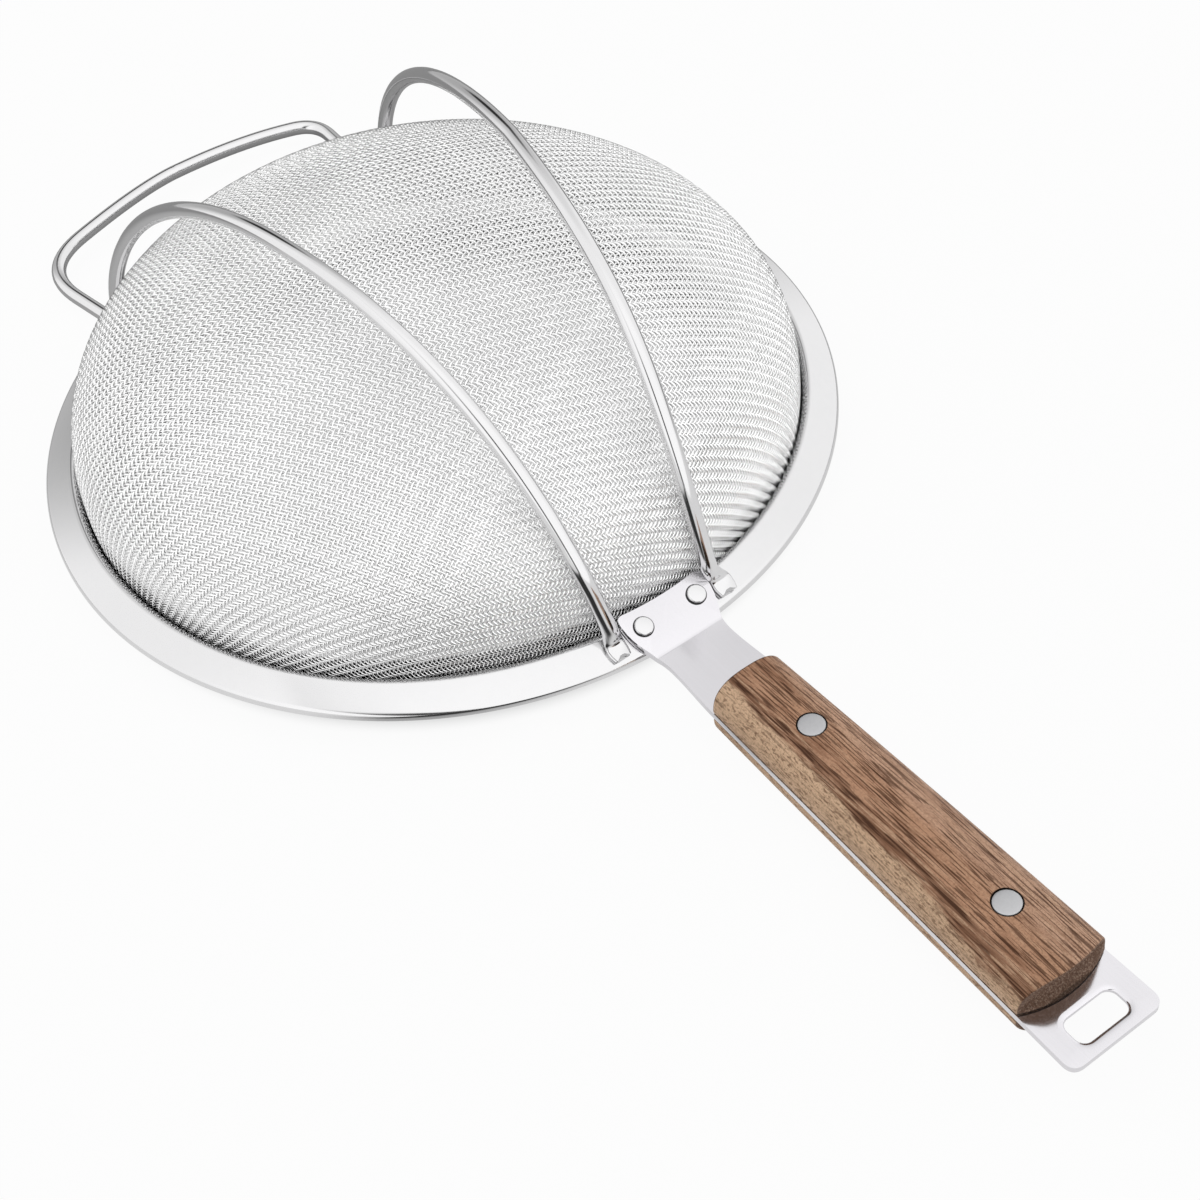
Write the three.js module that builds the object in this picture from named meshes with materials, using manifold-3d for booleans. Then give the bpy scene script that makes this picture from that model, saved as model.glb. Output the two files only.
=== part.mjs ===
// A round fine mesh strainer, standing mouth down with its dome of woven wire on top.
// Millimetres, +Z up, +X from the bowl along the handle. The bowl is modelled about the Z axis,
// with z = 0 at the middle of the rim's turned-down edge, and the whole is set on its footprint at the end.

import * as THREE from 'three';
import { mergeVertices } from 'three/addons/utils/BufferGeometryUtils.js';
import Module from 'manifold-3d';

// Driving dimensions of the bowl
const bowlRadius = 103.6;        // outside of the mesh at the mouth
const bowlDepth = 56.6;          // from the top of the rim's bead up to the crown of the mesh
const bowlFullness = 2.5;        // 2 is an ellipse, more gives fuller shoulders
const meshThickness = 0.8;       // two crossing wires of the weave
const meshEdgeDepth = 4.4;       // straight edge of the mesh that is gripped in the rim
const meshOpenings = 12;         // openings across the coarse cloth that stands for the fine weave
const meshBarShare = 0.31;       // share of the cloth's pitch that the wires take
const weaveTurn = THREE.MathUtils.degToRad(29.7);   // from the handle to the cloth's wires

// Driving dimensions of the rim
const rimSheet = 1.0;            // thickness of the rim's sheet
const flangeWidth = 10.2;        // from the rim's inner wall to its outer edge
const flangeSlope = THREE.MathUtils.degToRad(25);
const beadRadius = 1.5;          // bend over which the wall turns into the flange, at mid-sheet
const beadCentreZ = 2.9;         // height of that bend's centre above the rim's edge
const edgeRadius = 1.2;          // bend of the turned-down edge, at mid-sheet
const rimFootZ = -0.7;           // lower end of the wall and of the turned-down edge
const clampSheet = 0.8;          // ring that presses the mesh against the wall from inside
const clampHeight = 9.0;         // how far that ring reaches above the rim's foot
const clampLip = 3.6;            // its turned-out lip under the cut edge of the mesh

// Driving dimensions of the guard wire
const wireDiameter = 4.6;
const wireFootInset = 5.8;       // from the rim's edge in to where the flattened feet turn up
const wireFootY = 16.8;          // half spacing of the feet
const wireTipReach = 3.6;        // flattened end beyond that turn, towards the rim's edge
const wireFootWidth = 5.6;
const wireFootThickness = 1.7;
const wireStandOff = 17.8;       // from the crown of the mesh up to the wire's middle
const wireCrownY = 35.9;         // half spacing of the arms over the crown
const wireLegLean = THREE.MathUtils.degToRad(75);   // rise of the front legs
const wireBackLean = THREE.MathUtils.degToRad(83);  // fall of the back legs
const wireBackY = 49.1;          // half spacing of the legs at the back of the rim
const restDrop = 5.9;            // from the rim's edge down to the pot rest
const restRise = THREE.MathUtils.degToRad(2);       // slope of the pot rest up to its far end
const restReach = 48.5;          // from the rim's edge out to the far end of the pot rest
const restCornerReach = 34.0;    // from the rim's edge out to its two corners
const restCornerY = 56.5;        // half spacing of those corners before they are rounded
const restCornerTrim = 10.0;     // length of each side that the rounding takes
const restBow = 0.45;            // share of its width over which the far bar bends round
const wireLegShare = 0.65;       // share of the front legs' rise over which they keep their lean
const wireFrontPull = 0.43;      // share of the front arms' run over which they keep level
const wireBackShare = 0.48;      // share of the back legs' fall over which they keep their lean
const wireBackPull = 0.55;       // share of the back arms' run over which they keep level
const wireFootTurn = 0.7;        // length of the turn at the feet, in lengths of their tips
const wireBackTurn = 1.75;       // length of the turn behind the rim, in wire diameters
const wireTipTaper = 0.7;        // width of the feet at their very tips, as a share

// Driving dimensions of the handle's steel strap
const strapThickness = 1.8;
const strapBendReach = 2.155;    // from the rim's edge out to where the strap turns level
const strapBendRadius = 3.0;
const bracketWidth = 27.0;       // across the bracket on the flange, next to the mesh
const bracketClearance = 1.1;    // from the mesh to the bracket's hollow edge
const bracketCorner = 2.2;
const neckReach = 8.0;           // from the rim's edge out to the waist of the neck
const neckWidth = 19.8;
const gripReach = 26.0;          // from the rim's edge out to the front of the wooden scales
const tangFrontWidth = 21.8;
const tabLength = 14.3;          // steel beyond the furthest point of the scales
const tailWidth = 27.5;
const tailCorner = 3.4;
const slotInset = 6.9;           // from the tab's far end in to the middle of the hanging slot
const slotLength = 15.0;
const slotWidth = 7.3;
const slotCorner = 2.5;
const coinWidth = 1.5;           // rounded edge pressed round the slot
const coinDepth = 0.6;

// Driving dimensions of the wooden scales
const gripLength = 111.8;        // from the flat front to the furthest point of the rounded tail
const scaleTailRise = 3.2;       // how far the tail bulges past its corners
const upperFrontHeight = 9.4;
const upperTailHeight = 10.4;
const lowerFrontHeight = 8.0;
const lowerTailHeight = 7.6;
const scaleCrown = 1.0;          // swell of the back between its ends
const scaleFullness = 2.6;       // 2 is half an ellipse, more is squarer

// Driving dimensions of the fasteners
const pinDiameter = 6.8;
const pinFrontInset = 25.0;      // from the front of the scales
const pinBackInset = 20.8;       // from the furthest point of the tail
const pinCrown = 0.35;
const rivetInset = 5.85;         // from the rim's edge in to the rivets, on the flange's face
const rivetSpacing = 17.0;
const rivetShank = 3.0;
const rivetHead = 5.1;
const rivetHeadHeight = 1.2;
const rivetTail = 4.4;
const rivetTailHeight = 0.9;

// Clearances
const seatGap = 0.2;             // between pieces that lie on each other
const gripGap = 0.25;            // on each side of the mesh in the rim
const holeGap = 0.15;            // round pins and rivets, on the radius
const meshGap = 0.25;            // from the guard wire to the mesh beside it

// Fineness of the facets
const ringSegments = 72;
const domeSteps = 40;
const domeCrowding = 1.5;        // more than 1 sets the dome's steps closer together at its foot
const wireSides = 8;
const holeSides = 20;

const wasm = await Module();
wasm.setup();

const steel = { color: 0xdfe0e2, roughness: 0.18, metalness: 1.0 };
const satinSteel = { color: 0xd4d2d6, roughness: 0.38, metalness: 1.0 };
const wovenSteel = { color: 0xc9cacc, roughness: 0.42, metalness: 0.9 };
const walnut = { color: 0x9a6f4e, roughness: 0.55, metalness: 0.0 };

// Turns a geometry into a solid that can be cut and joined.
function solidOf(geometry) {
  const bare = new THREE.BufferGeometry();
  bare.setAttribute('position', geometry.getAttribute('position').clone());
  if (geometry.index) {
    bare.setIndex(geometry.index.clone());
  }
  const merged = mergeVertices(bare, 1e-4);
  const kept = [];
  const index = merged.index.array;
  for (let i = 0; i < index.length; i += 3) {
    const [a, b, c] = [index[i], index[i + 1], index[i + 2]];
    if (a !== b && b !== c && c !== a) {
      kept.push(a, b, c);
    }
  }
  return new wasm.Manifold(new wasm.Mesh({
    numProp: 3,
    vertProperties: new Float32Array(merged.getAttribute('position').array),
    triVerts: new Uint32Array(kept),
  }));
}

// Turns a cut solid back into a geometry.
function geometryOf(solid) {
  const mesh = solid.getMesh();
  const positions = [];
  for (let i = 0; i < mesh.numVert; i += 1) {
    const start = i * mesh.numProp;
    positions.push(...mesh.vertProperties.slice(start, start + 3));
  }
  const geometry = new THREE.BufferGeometry();
  geometry.setAttribute('position', new THREE.Float32BufferAttribute(positions, 3));
  geometry.setIndex(Array.from(mesh.triVerts));
  geometry.computeVertexNormals();
  return geometry;
}

function cut(geometry, ...tools) {
  let solid = solidOf(geometry);
  for (const tool of tools) {
    solid = solid.subtract(solidOf(tool));
  }
  return geometryOf(solid);
}

function common(first, second) {
  return geometryOf(solidOf(first).intersect(solidOf(second)));
}

// The closed outline of a sheet of even thickness, from the line along the middle of the sheet.
function sheetOutline(middle, thickness) {
  const left = [];
  const right = [];
  middle.forEach((point, i) => {
    const before = middle[Math.max(i - 1, 0)];
    const after = middle[Math.min(i + 1, middle.length - 1)];
    const inward = point.clone().sub(before).normalize();
    const outward = after.clone().sub(point).normalize();
    const along = inward.add(outward).normalize();
    const across = new THREE.Vector2(-along.y, along.x);
    left.push(point.clone().addScaledVector(across, thickness / 2));
    right.push(point.clone().addScaledVector(across, -thickness / 2));
  });
  return [...left, ...right.reverse()];
}

// Points of a round bend in a sheet's middle line, ends included.
function bend(centre, radius, fromAngle, toAngle, steps) {
  const points = [];
  for (let i = 0; i <= steps; i += 1) {
    const angle = THREE.MathUtils.lerp(fromAngle, toAngle, i / steps);
    points.push(new THREE.Vector2(Math.cos(angle), Math.sin(angle)).multiplyScalar(radius).add(centre));
  }
  return points;
}

// A ring turned about the Z axis from a closed outline of (radius, height).
function turnedRing(outline) {
  const area = THREE.ShapeUtils.area(outline);
  const facing = area > 0 ? outline : [...outline].reverse();
  return new THREE.LatheGeometry([...facing, facing[0]], ringSegments).rotateX(Math.PI / 2);
}

// A body turned about the Z axis whose profile runs from the axis at the foot to the axis at the top.
function turnedBody(profile, segments) {
  return new THREE.LatheGeometry(profile, segments).rotateX(Math.PI / 2);
}

// A closed skin over rings with equal numbers of points, with a fan on each end.
function loft(rings) {
  const count = rings[0].length;
  const positions = rings.flat().flatMap((point) => [point.x, point.y, point.z]);
  const index = [];
  for (let r = 0; r + 1 < rings.length; r += 1) {
    for (let i = 0; i < count; i += 1) {
      const a = r * count + i;
      const b = r * count + (i + 1) % count;
      index.push(a, b, b + count, a, b + count, a + count);
    }
  }
  const last = (rings.length - 1) * count;
  for (let i = 1; i + 1 < count; i += 1) {
    index.push(0, i + 1, i);
    index.push(last, last + i, last + i + 1);
  }
  const geometry = new THREE.BufferGeometry();
  geometry.setAttribute('position', new THREE.Float32BufferAttribute(positions, 3));
  geometry.setIndex(index);
  geometry.computeVertexNormals();
  return geometry;
}

// A flat shape raised between two heights.
function raised(shape, low, high, curveSegments = 8) {
  const settings = { depth: high - low, bevelEnabled: false, curveSegments };
  return new THREE.ExtrudeGeometry(shape, settings).translate(0, 0, low);
}

// A side view in (x, z) drawn out to both sides of the X axis.
function drawnOut(outline, halfWidth) {
  const settings = { depth: 2 * halfWidth, bevelEnabled: false };
  const geometry = new THREE.ExtrudeGeometry(new THREE.Shape(outline), settings);
  return geometry.rotateX(Math.PI / 2).translate(0, halfWidth, 0);
}

function mesh(name, geometry, finish) {
  const made = new THREE.Mesh(geometry, new THREE.MeshStandardMaterial(finish));
  made.name = name;
  return made;
}

// The rim: a wall round the mesh, a bead at its top and a sloping flange with a turned-down edge
const wallInside = bowlRadius + gripGap;
const wallMiddle = wallInside + rimSheet / 2;
const rimRadius = wallInside + flangeWidth;
const rivetX = rimRadius - rivetInset;
const beadCentre = new THREE.Vector2(wallMiddle + beadRadius, beadCentreZ);
const flangeStart = bend(beadCentre, beadRadius, Math.PI, Math.PI / 2 - flangeSlope, 4);
const edgeMiddle = rimRadius - rimSheet / 2;
const edgeCentreX = edgeMiddle - edgeRadius;
const slopeStart = flangeStart[flangeStart.length - 1];
const edgeTangentX = edgeCentreX + edgeRadius * Math.sin(flangeSlope);
const edgeTangentZ = slopeStart.y - (edgeTangentX - slopeStart.x) * Math.tan(flangeSlope);
const edgeCentre = new THREE.Vector2(edgeCentreX, edgeTangentZ - edgeRadius * Math.cos(flangeSlope));
const flangeEnd = bend(edgeCentre, edgeRadius, Math.PI / 2 - flangeSlope, 0, 3);

// Height of the flange's upper face at a distance from the bowl's axis.
function flangeTop(radius) {
  const onMiddle = slopeStart.y - (radius - slopeStart.x) * Math.tan(flangeSlope);
  return onMiddle + rimSheet / 2 / Math.cos(flangeSlope);
}

const rimMiddle = [
  new THREE.Vector2(wallMiddle, rimFootZ),
  ...flangeStart,
  ...flangeEnd,
  new THREE.Vector2(edgeMiddle, rimFootZ),
];
const rimBlank = turnedRing(sheetOutline(rimMiddle, rimSheet));

// The woven bowl: cloth pressed into a full dome, with a straight edge in the rim
const domeFoot = beadCentreZ + beadRadius;
const meshFoot = domeFoot - meshEdgeDepth;
const meshInside = bowlRadius - meshThickness;

// The outside of the dome in side view, from its crown to its foot.
function domeCurve() {
  const points = [];
  for (let i = 0; i <= domeSteps; i += 1) {
    const turn = (1 - i / domeSteps) ** domeCrowding * Math.PI / 2;
    const height = Math.sin(turn) ** (2 / bowlFullness);
    points.push(new THREE.Vector2(bowlRadius * Math.cos(turn), domeFoot + bowlDepth * height));
  }
  return new THREE.SplineCurve(points);
}

const dome = domeCurve();

// A point of the cloth, a sheet from -1 to 1 each way that is drawn round and pressed over the dome.
function clothPoint(u, v, depth) {
  const flat = new THREE.Vector2(u * Math.sqrt(1 - v * v / 2), v * Math.sqrt(1 - u * u / 2));
  const share = Math.min(flat.length(), 1);
  const along = dome.getTangentAt(share);
  const inward = new THREE.Vector2(along.y, -along.x);
  const spot = dome.getPointAt(share).addScaledVector(inward, depth);
  const turn = flat.angle() + weaveTurn;
  return new THREE.Vector3(spot.x * Math.cos(turn), spot.x * Math.sin(turn), spot.y);
}

// The cloth with its openings: every second strip of the sheet is a wire, each way. A quad is split
// along its shorter diagonal, which keeps the skins round near the sheet's corners.
function clothGeometry() {
  const pitch = 2 / (meshOpenings + meshBarShare);
  const lines = [];
  for (let wire = 0; wire <= meshOpenings; wire += 1) {
    lines.push(wire * pitch - 1, (wire + meshBarShare) * pitch - 1);
  }
  lines[lines.length - 1] = 1;
  const last = lines.length - 1;
  const points = [];
  const index = [];
  const keep = (point) => points.push(point) - 1;
  const quad = (a, b, c, d) => {
    const across = points[a].distanceTo(points[c]) - points[b].distanceTo(points[d]);
    index.push(...(across > 0 ? [a, b, d, b, c, d] : [a, b, c, a, c, d]));
  };
  const skin = (depth) => lines.map((v) => lines.map((u) => keep(clothPoint(u, v, depth))));
  const outer = skin(0);
  const inner = skin(meshThickness);

  // Bars get both skins and openings get four walls between the skins
  for (let j = 0; j < last; j += 1) {
    for (let i = 0; i < last; i += 1) {
      const corners = [[j, i], [j, i + 1], [j + 1, i + 1], [j + 1, i]];
      const above = corners.map(([row, column]) => outer[row][column]);
      const below = corners.map(([row, column]) => inner[row][column]);
      if (i % 2 === 1 && j % 2 === 1) {
        above.forEach((corner, k) => quad(corner, above[(k + 1) % 4], below[(k + 1) % 4], below[k]));
      } else {
        quad(...above);
        quad(...below.reverse());
      }
    }
  }

  // The straight edge hangs from the sheet's four sides, taken in turn
  const steps = lines.slice(0, last).map((_, i) => i);
  const round = [
    ...steps.map((i) => [0, i]),
    ...steps.map((i) => [i, last]),
    ...steps.map((i) => [last, last - i]),
    ...steps.map((i) => [last - i, 0]),
  ];
  const edge = round.map(([row, column]) => {
    const skins = [outer[row][column], inner[row][column]];
    return [...skins, ...skins.map((top) => keep(points[top].clone().setZ(meshFoot)))];
  });
  edge.forEach(([above, below, aboveFoot, belowFoot], k) => {
    const [nextAbove, nextBelow, nextAboveFoot, nextBelowFoot] = edge[(k + 1) % edge.length];
    quad(nextAbove, above, aboveFoot, nextAboveFoot);
    quad(nextAboveFoot, aboveFoot, belowFoot, nextBelowFoot);
    quad(below, nextBelow, nextBelowFoot, belowFoot);
  });
  const geometry = new THREE.BufferGeometry().setFromPoints(points);
  geometry.setIndex(index);
  geometry.computeVertexNormals();
  return geometry;
}

// The clamp ring inside the mesh, with a lip turned out under the mesh and the wall
const clampMiddle = meshInside - gripGap - clampSheet / 2;
const lipMiddleZ = rimFootZ - seatGap - clampSheet / 2;
const clampTurn = new THREE.Vector2(clampMiddle + clampSheet, lipMiddleZ + clampSheet);
const clampLine = [
  new THREE.Vector2(clampMiddle, rimFootZ + clampHeight),
  ...bend(clampTurn, clampSheet, Math.PI, Math.PI * 1.5, 2),
  new THREE.Vector2(clampMiddle + clampLip, lipMiddleZ),
];
const clampGeometry = turnedRing(sheetOutline(clampLine, clampSheet));

// Places along the handle, from the bowl's axis
const strapBendX = rimRadius + strapBendReach;
const neckX = rimRadius + neckReach;
const tangFrontX = rimRadius + gripReach;
const scaleTailX = tangFrontX + gripLength;
const tailX = scaleTailX + tabLength;
const slotX = tailX - slotInset;
const pinFrontX = tangFrontX + pinFrontInset;
const pinBackX = scaleTailX - pinBackInset;

// The strap in side view: down the flange, a bend past the rim's edge, then level to the tail
const strapLift = (seatGap + strapThickness / 2) / Math.cos(flangeSlope);
const bendStart = new THREE.Vector2(strapBendX, flangeTop(strapBendX) + strapLift);
const bendCentre = new THREE.Vector2(
  strapBendX + strapBendRadius * Math.sin(flangeSlope),
  bendStart.y + strapBendRadius * Math.cos(flangeSlope),
);
const tangMiddle = bendCentre.y - strapBendRadius;
const tangTop = tangMiddle + strapThickness / 2;
const tangFoot = tangMiddle - strapThickness / 2;
const strapStartX = bowlRadius - bracketWidth / 4;
const strapLine = [
  new THREE.Vector2(strapStartX, flangeTop(strapStartX) + strapLift),
  ...bend(bendCentre, strapBendRadius, Math.PI * 1.5 - flangeSlope, Math.PI * 1.5, 6),
  new THREE.Vector2(tailX + strapThickness, tangMiddle),
];

// Half the strap's width where it tapers along the handle.
function tangHalf(x) {
  const share = (x - tangFrontX) / (tailX - tangFrontX);
  return THREE.MathUtils.lerp(tangFrontWidth, tailWidth, share) / 2;
}

// The strap in plan: a bracket hollowed round the mesh, a waist, and a taper out to the tail
function strapPlan() {
  const hollow = bowlRadius + bracketClearance;
  const half = bracketWidth / 2;
  const cornerX = Math.sqrt(hollow ** 2 - half ** 2);
  const turnOn = Math.asin((half - bracketCorner) / hollow);
  const sideX = cornerX + bracketCorner;
  const waist = neckWidth / 2;
  const waistPull = (neckX - sideX) / 2;
  const taperPull = (tangFrontX - neckX) / 3;
  const tail = tangHalf(tailX - tailCorner);
  const front = tangHalf(tangFrontX);
  const frontPull = tangHalf(tangFrontX - taperPull);
  const shape = new THREE.Shape();
  shape.absarc(0, 0, hollow, turnOn, -turnOn, true);
  shape.quadraticCurveTo(cornerX, -half, sideX, -half);
  shape.bezierCurveTo(sideX + waistPull, -half, neckX - waistPull, -waist, neckX, -waist);
  shape.bezierCurveTo(neckX + taperPull, -waist, tangFrontX - taperPull, -frontPull, tangFrontX, -front);
  shape.lineTo(tailX - tailCorner, -tail);
  shape.quadraticCurveTo(tailX, -tail, tailX, -tail + tailCorner);
  shape.lineTo(tailX, tail - tailCorner);
  shape.quadraticCurveTo(tailX, tail, tailX - tailCorner, tail);
  shape.lineTo(tangFrontX, front);
  shape.bezierCurveTo(tangFrontX - taperPull, frontPull, neckX + taperPull, waist, neckX, waist);
  shape.bezierCurveTo(neckX - waistPull, waist, sideX + waistPull, half, sideX, half);
  shape.quadraticCurveTo(cornerX, half, hollow * Math.cos(turnOn), hollow * Math.sin(turnOn));
  return shape;
}

// A ring of points round the hanging slot, grown outwards by a margin.
function slotRing(margin, height) {
  const radius = slotCorner + margin;
  const alongX = slotWidth / 2 - slotCorner;
  const alongY = slotLength / 2 - slotCorner;
  const corners = [[alongX, alongY], [-alongX, alongY], [-alongX, -alongY], [alongX, -alongY]];
  return corners.flatMap(([x, y], quarter) => {
    const centre = new THREE.Vector2(slotX + x, y);
    const start = quarter * Math.PI / 2;
    const points = bend(centre, radius, start, start + Math.PI / 2, 4);
    return points.map((point) => new THREE.Vector3(point.x, point.y, height));
  });
}

// The slot's cutter: straight through the strap, with a rounded flare at both faces.
function slotCutter() {
  const flare = [];
  const steps = 4;
  for (let i = 0; i <= steps; i += 1) {
    const turn = (i / steps) * Math.PI / 2;
    flare.push([coinWidth * (1 - Math.sin(turn)), coinDepth * (1 - Math.cos(turn))]);
  }
  const below = flare.map(([margin, depth]) => slotRing(margin, tangFoot + depth));
  const above = flare.map(([margin, depth]) => slotRing(margin, tangTop - depth));
  const foot = slotRing(coinWidth, tangFoot - strapThickness);
  const head = slotRing(coinWidth, tangTop + strapThickness);
  return loft([foot, ...below, ...above.reverse(), head]);
}

function verticalHole(x, radius) {
  const tool = new THREE.CylinderGeometry(radius, radius, 8 * upperTailHeight, holeSides);
  return tool.rotateX(Math.PI / 2).translate(x, 0, tangMiddle);
}

// A hole square to the flange at one of the rivets.
function rivetHole(y) {
  const radius = rivetShank / 2 + holeGap;
  const tool = new THREE.CylinderGeometry(radius, radius, 10 * strapThickness, holeSides);
  tool.rotateX(Math.PI / 2).rotateY(flangeSlope);
  return tool.translate(rivetX, y, flangeTop(rivetX));
}

const pinHole = pinDiameter / 2 + holeGap;
const rivetSide = rivetSpacing / 2;
const rivetHoles = [rivetHole(-rivetSide), rivetHole(rivetSide)];
const strapPlanSolid = raised(strapPlan(), tangFoot - bowlDepth, tangTop + bowlDepth);
const strapSheet = drawnOut(sheetOutline(strapLine, strapThickness), Math.max(bracketWidth, tailWidth));
const strapGeometry = cut(
  common(strapPlanSolid, strapSheet),
  verticalHole(pinFrontX, pinHole),
  verticalHole(pinBackX, pinHole),
  slotCutter(),
  ...rivetHoles,
);
const rimGeometry = cut(rimBlank, ...rivetHoles);

// Height of a scale's back above its flat face, from its heights at the front and the tail.
function scaleHeight(x, front, tail) {
  const share = (x - tangFrontX) / gripLength;
  const swell = 4 * share * (1 - share) * scaleCrown;
  return THREE.MathUtils.lerp(front, tail, share) + swell;
}

const upperHeight = (x) => scaleHeight(x, upperFrontHeight, upperTailHeight);
const lowerHeight = (x) => scaleHeight(x, lowerFrontHeight, lowerTailHeight);

// An arched section lofted along the tang.
function scaleBlank(heightAt) {
  const rings = [];
  const stations = 16;
  const arcSteps = 16;
  for (let s = 0; s <= stations; s += 1) {
    const x = THREE.MathUtils.lerp(tangFrontX, scaleTailX + scaleTailRise, s / stations);
    const half = tangHalf(x);
    const ring = [];
    for (let i = 0; i <= arcSteps; i += 1) {
      const turn = (i / arcSteps) * Math.PI;
      const across = Math.sign(Math.cos(turn)) * Math.abs(Math.cos(turn)) ** (2 / scaleFullness);
      const up = Math.abs(Math.sin(turn)) ** (2 / scaleFullness);
      ring.push(new THREE.Vector3(x, half * across, i % arcSteps === 0 ? 0 : heightAt(x) * up));
    }
    rings.push(ring);
  }
  return loft(rings);
}

function scalePlan() {
  const half = tailWidth;
  const cornerHalf = tangHalf(scaleTailX - scaleTailRise);
  const radius = (cornerHalf ** 2 + scaleTailRise ** 2) / (2 * scaleTailRise);
  const turn = Math.asin(Math.min(half / radius, 1));
  const shape = new THREE.Shape();
  shape.moveTo(tangFrontX, half);
  shape.lineTo(tangFrontX, -half);
  shape.absarc(scaleTailX - radius, 0, radius, -turn, turn, false);
  return shape;
}

// A wooden scale: the arched blank with a rounded tail and two pin holes
function scaleGeometry(heightAt) {
  return cut(
    common(scaleBlank(heightAt), raised(scalePlan(), -strapThickness, 3 * upperTailHeight, 32)),
    verticalHole(pinFrontX, pinHole),
    verticalHole(pinBackX, pinHole),
  );
}

const upperSeat = tangTop + seatGap;
const lowerSeat = tangFoot - seatGap;

// A pin through both scales and the tang, with a slightly crowned face at each end.
function pinGeometry(x) {
  const radius = pinDiameter / 2;
  const top = upperSeat + upperHeight(x);
  const foot = lowerSeat - lowerHeight(x);
  const faceCurve = [[1.0, -0.6], [0.86, -0.1], [0.5, 0.7], [0, 1.0]];
  const head = faceCurve.map(([r, h]) => new THREE.Vector2(radius * r, top + pinCrown * h));
  const tail = faceCurve.map(([r, h]) => new THREE.Vector2(radius * r, foot - pinCrown * h)).reverse();
  return turnedBody([...tail, ...head], holeSides).translate(x, 0, 0);
}

// A rivet square to the flange: a low dome on the bracket, a shank and a flattened tail underneath.
function rivetGeometry() {
  const grip = strapThickness + seatGap + rimSheet;
  const sag = rivetSide ** 2 / (2 * rivetX) * Math.sin(flangeSlope);
  const tailTop = -(grip + sag + seatGap);
  const shank = rivetShank / 2;
  const head = [];
  const steps = 5;
  for (let i = 0; i <= steps; i += 1) {
    const turn = (i / steps) * Math.PI / 2;
    const width = Math.cos(turn) * rivetHead / 2;
    head.push(new THREE.Vector2(width, seatGap + rivetHeadHeight * Math.sin(turn)));
  }
  head[steps].x = 0;
  return turnedBody([
    new THREE.Vector2(0, tailTop - rivetTailHeight),
    new THREE.Vector2(rivetTail / 2 - rivetTailHeight / 2, tailTop - rivetTailHeight),
    new THREE.Vector2(rivetTail / 2, tailTop - rivetTailHeight / 2),
    new THREE.Vector2(rivetTail / 2, tailTop),
    new THREE.Vector2(shank, tailTop),
    new THREE.Vector2(shank, seatGap),
    ...head,
  ], holeSides);
}

// The guard wire: one rod from a flattened foot on the flange over the dome to the back of the rim,
// out round the pot rest and back to the other foot
const wireRadius = wireDiameter / 2;

function place(x, y, z) {
  return new THREE.Vector3(x, y, z);
}

// A point at a distance from one corner of the wire's route towards the next.
function towards(from, to, distance) {
  return from.clone().addScaledVector(to.clone().sub(from).normalize(), distance);
}

// Moves a point of the wire outwards where the wire would press into the mesh.
function clearOfMesh(point) {
  const reach = wireRadius + meshGap;
  const share = THREE.MathUtils.clamp((point.z - domeFoot) / (bowlDepth + reach), 0, 1);
  const least = (bowlRadius + reach) * Math.sqrt(1 - share ** bowlFullness);
  const radius = Math.hypot(point.x, point.y);
  const push = radius < least && share < 1 ? least / radius : 1;
  return place(point.x * push, point.y * push, point.z);
}

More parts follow.
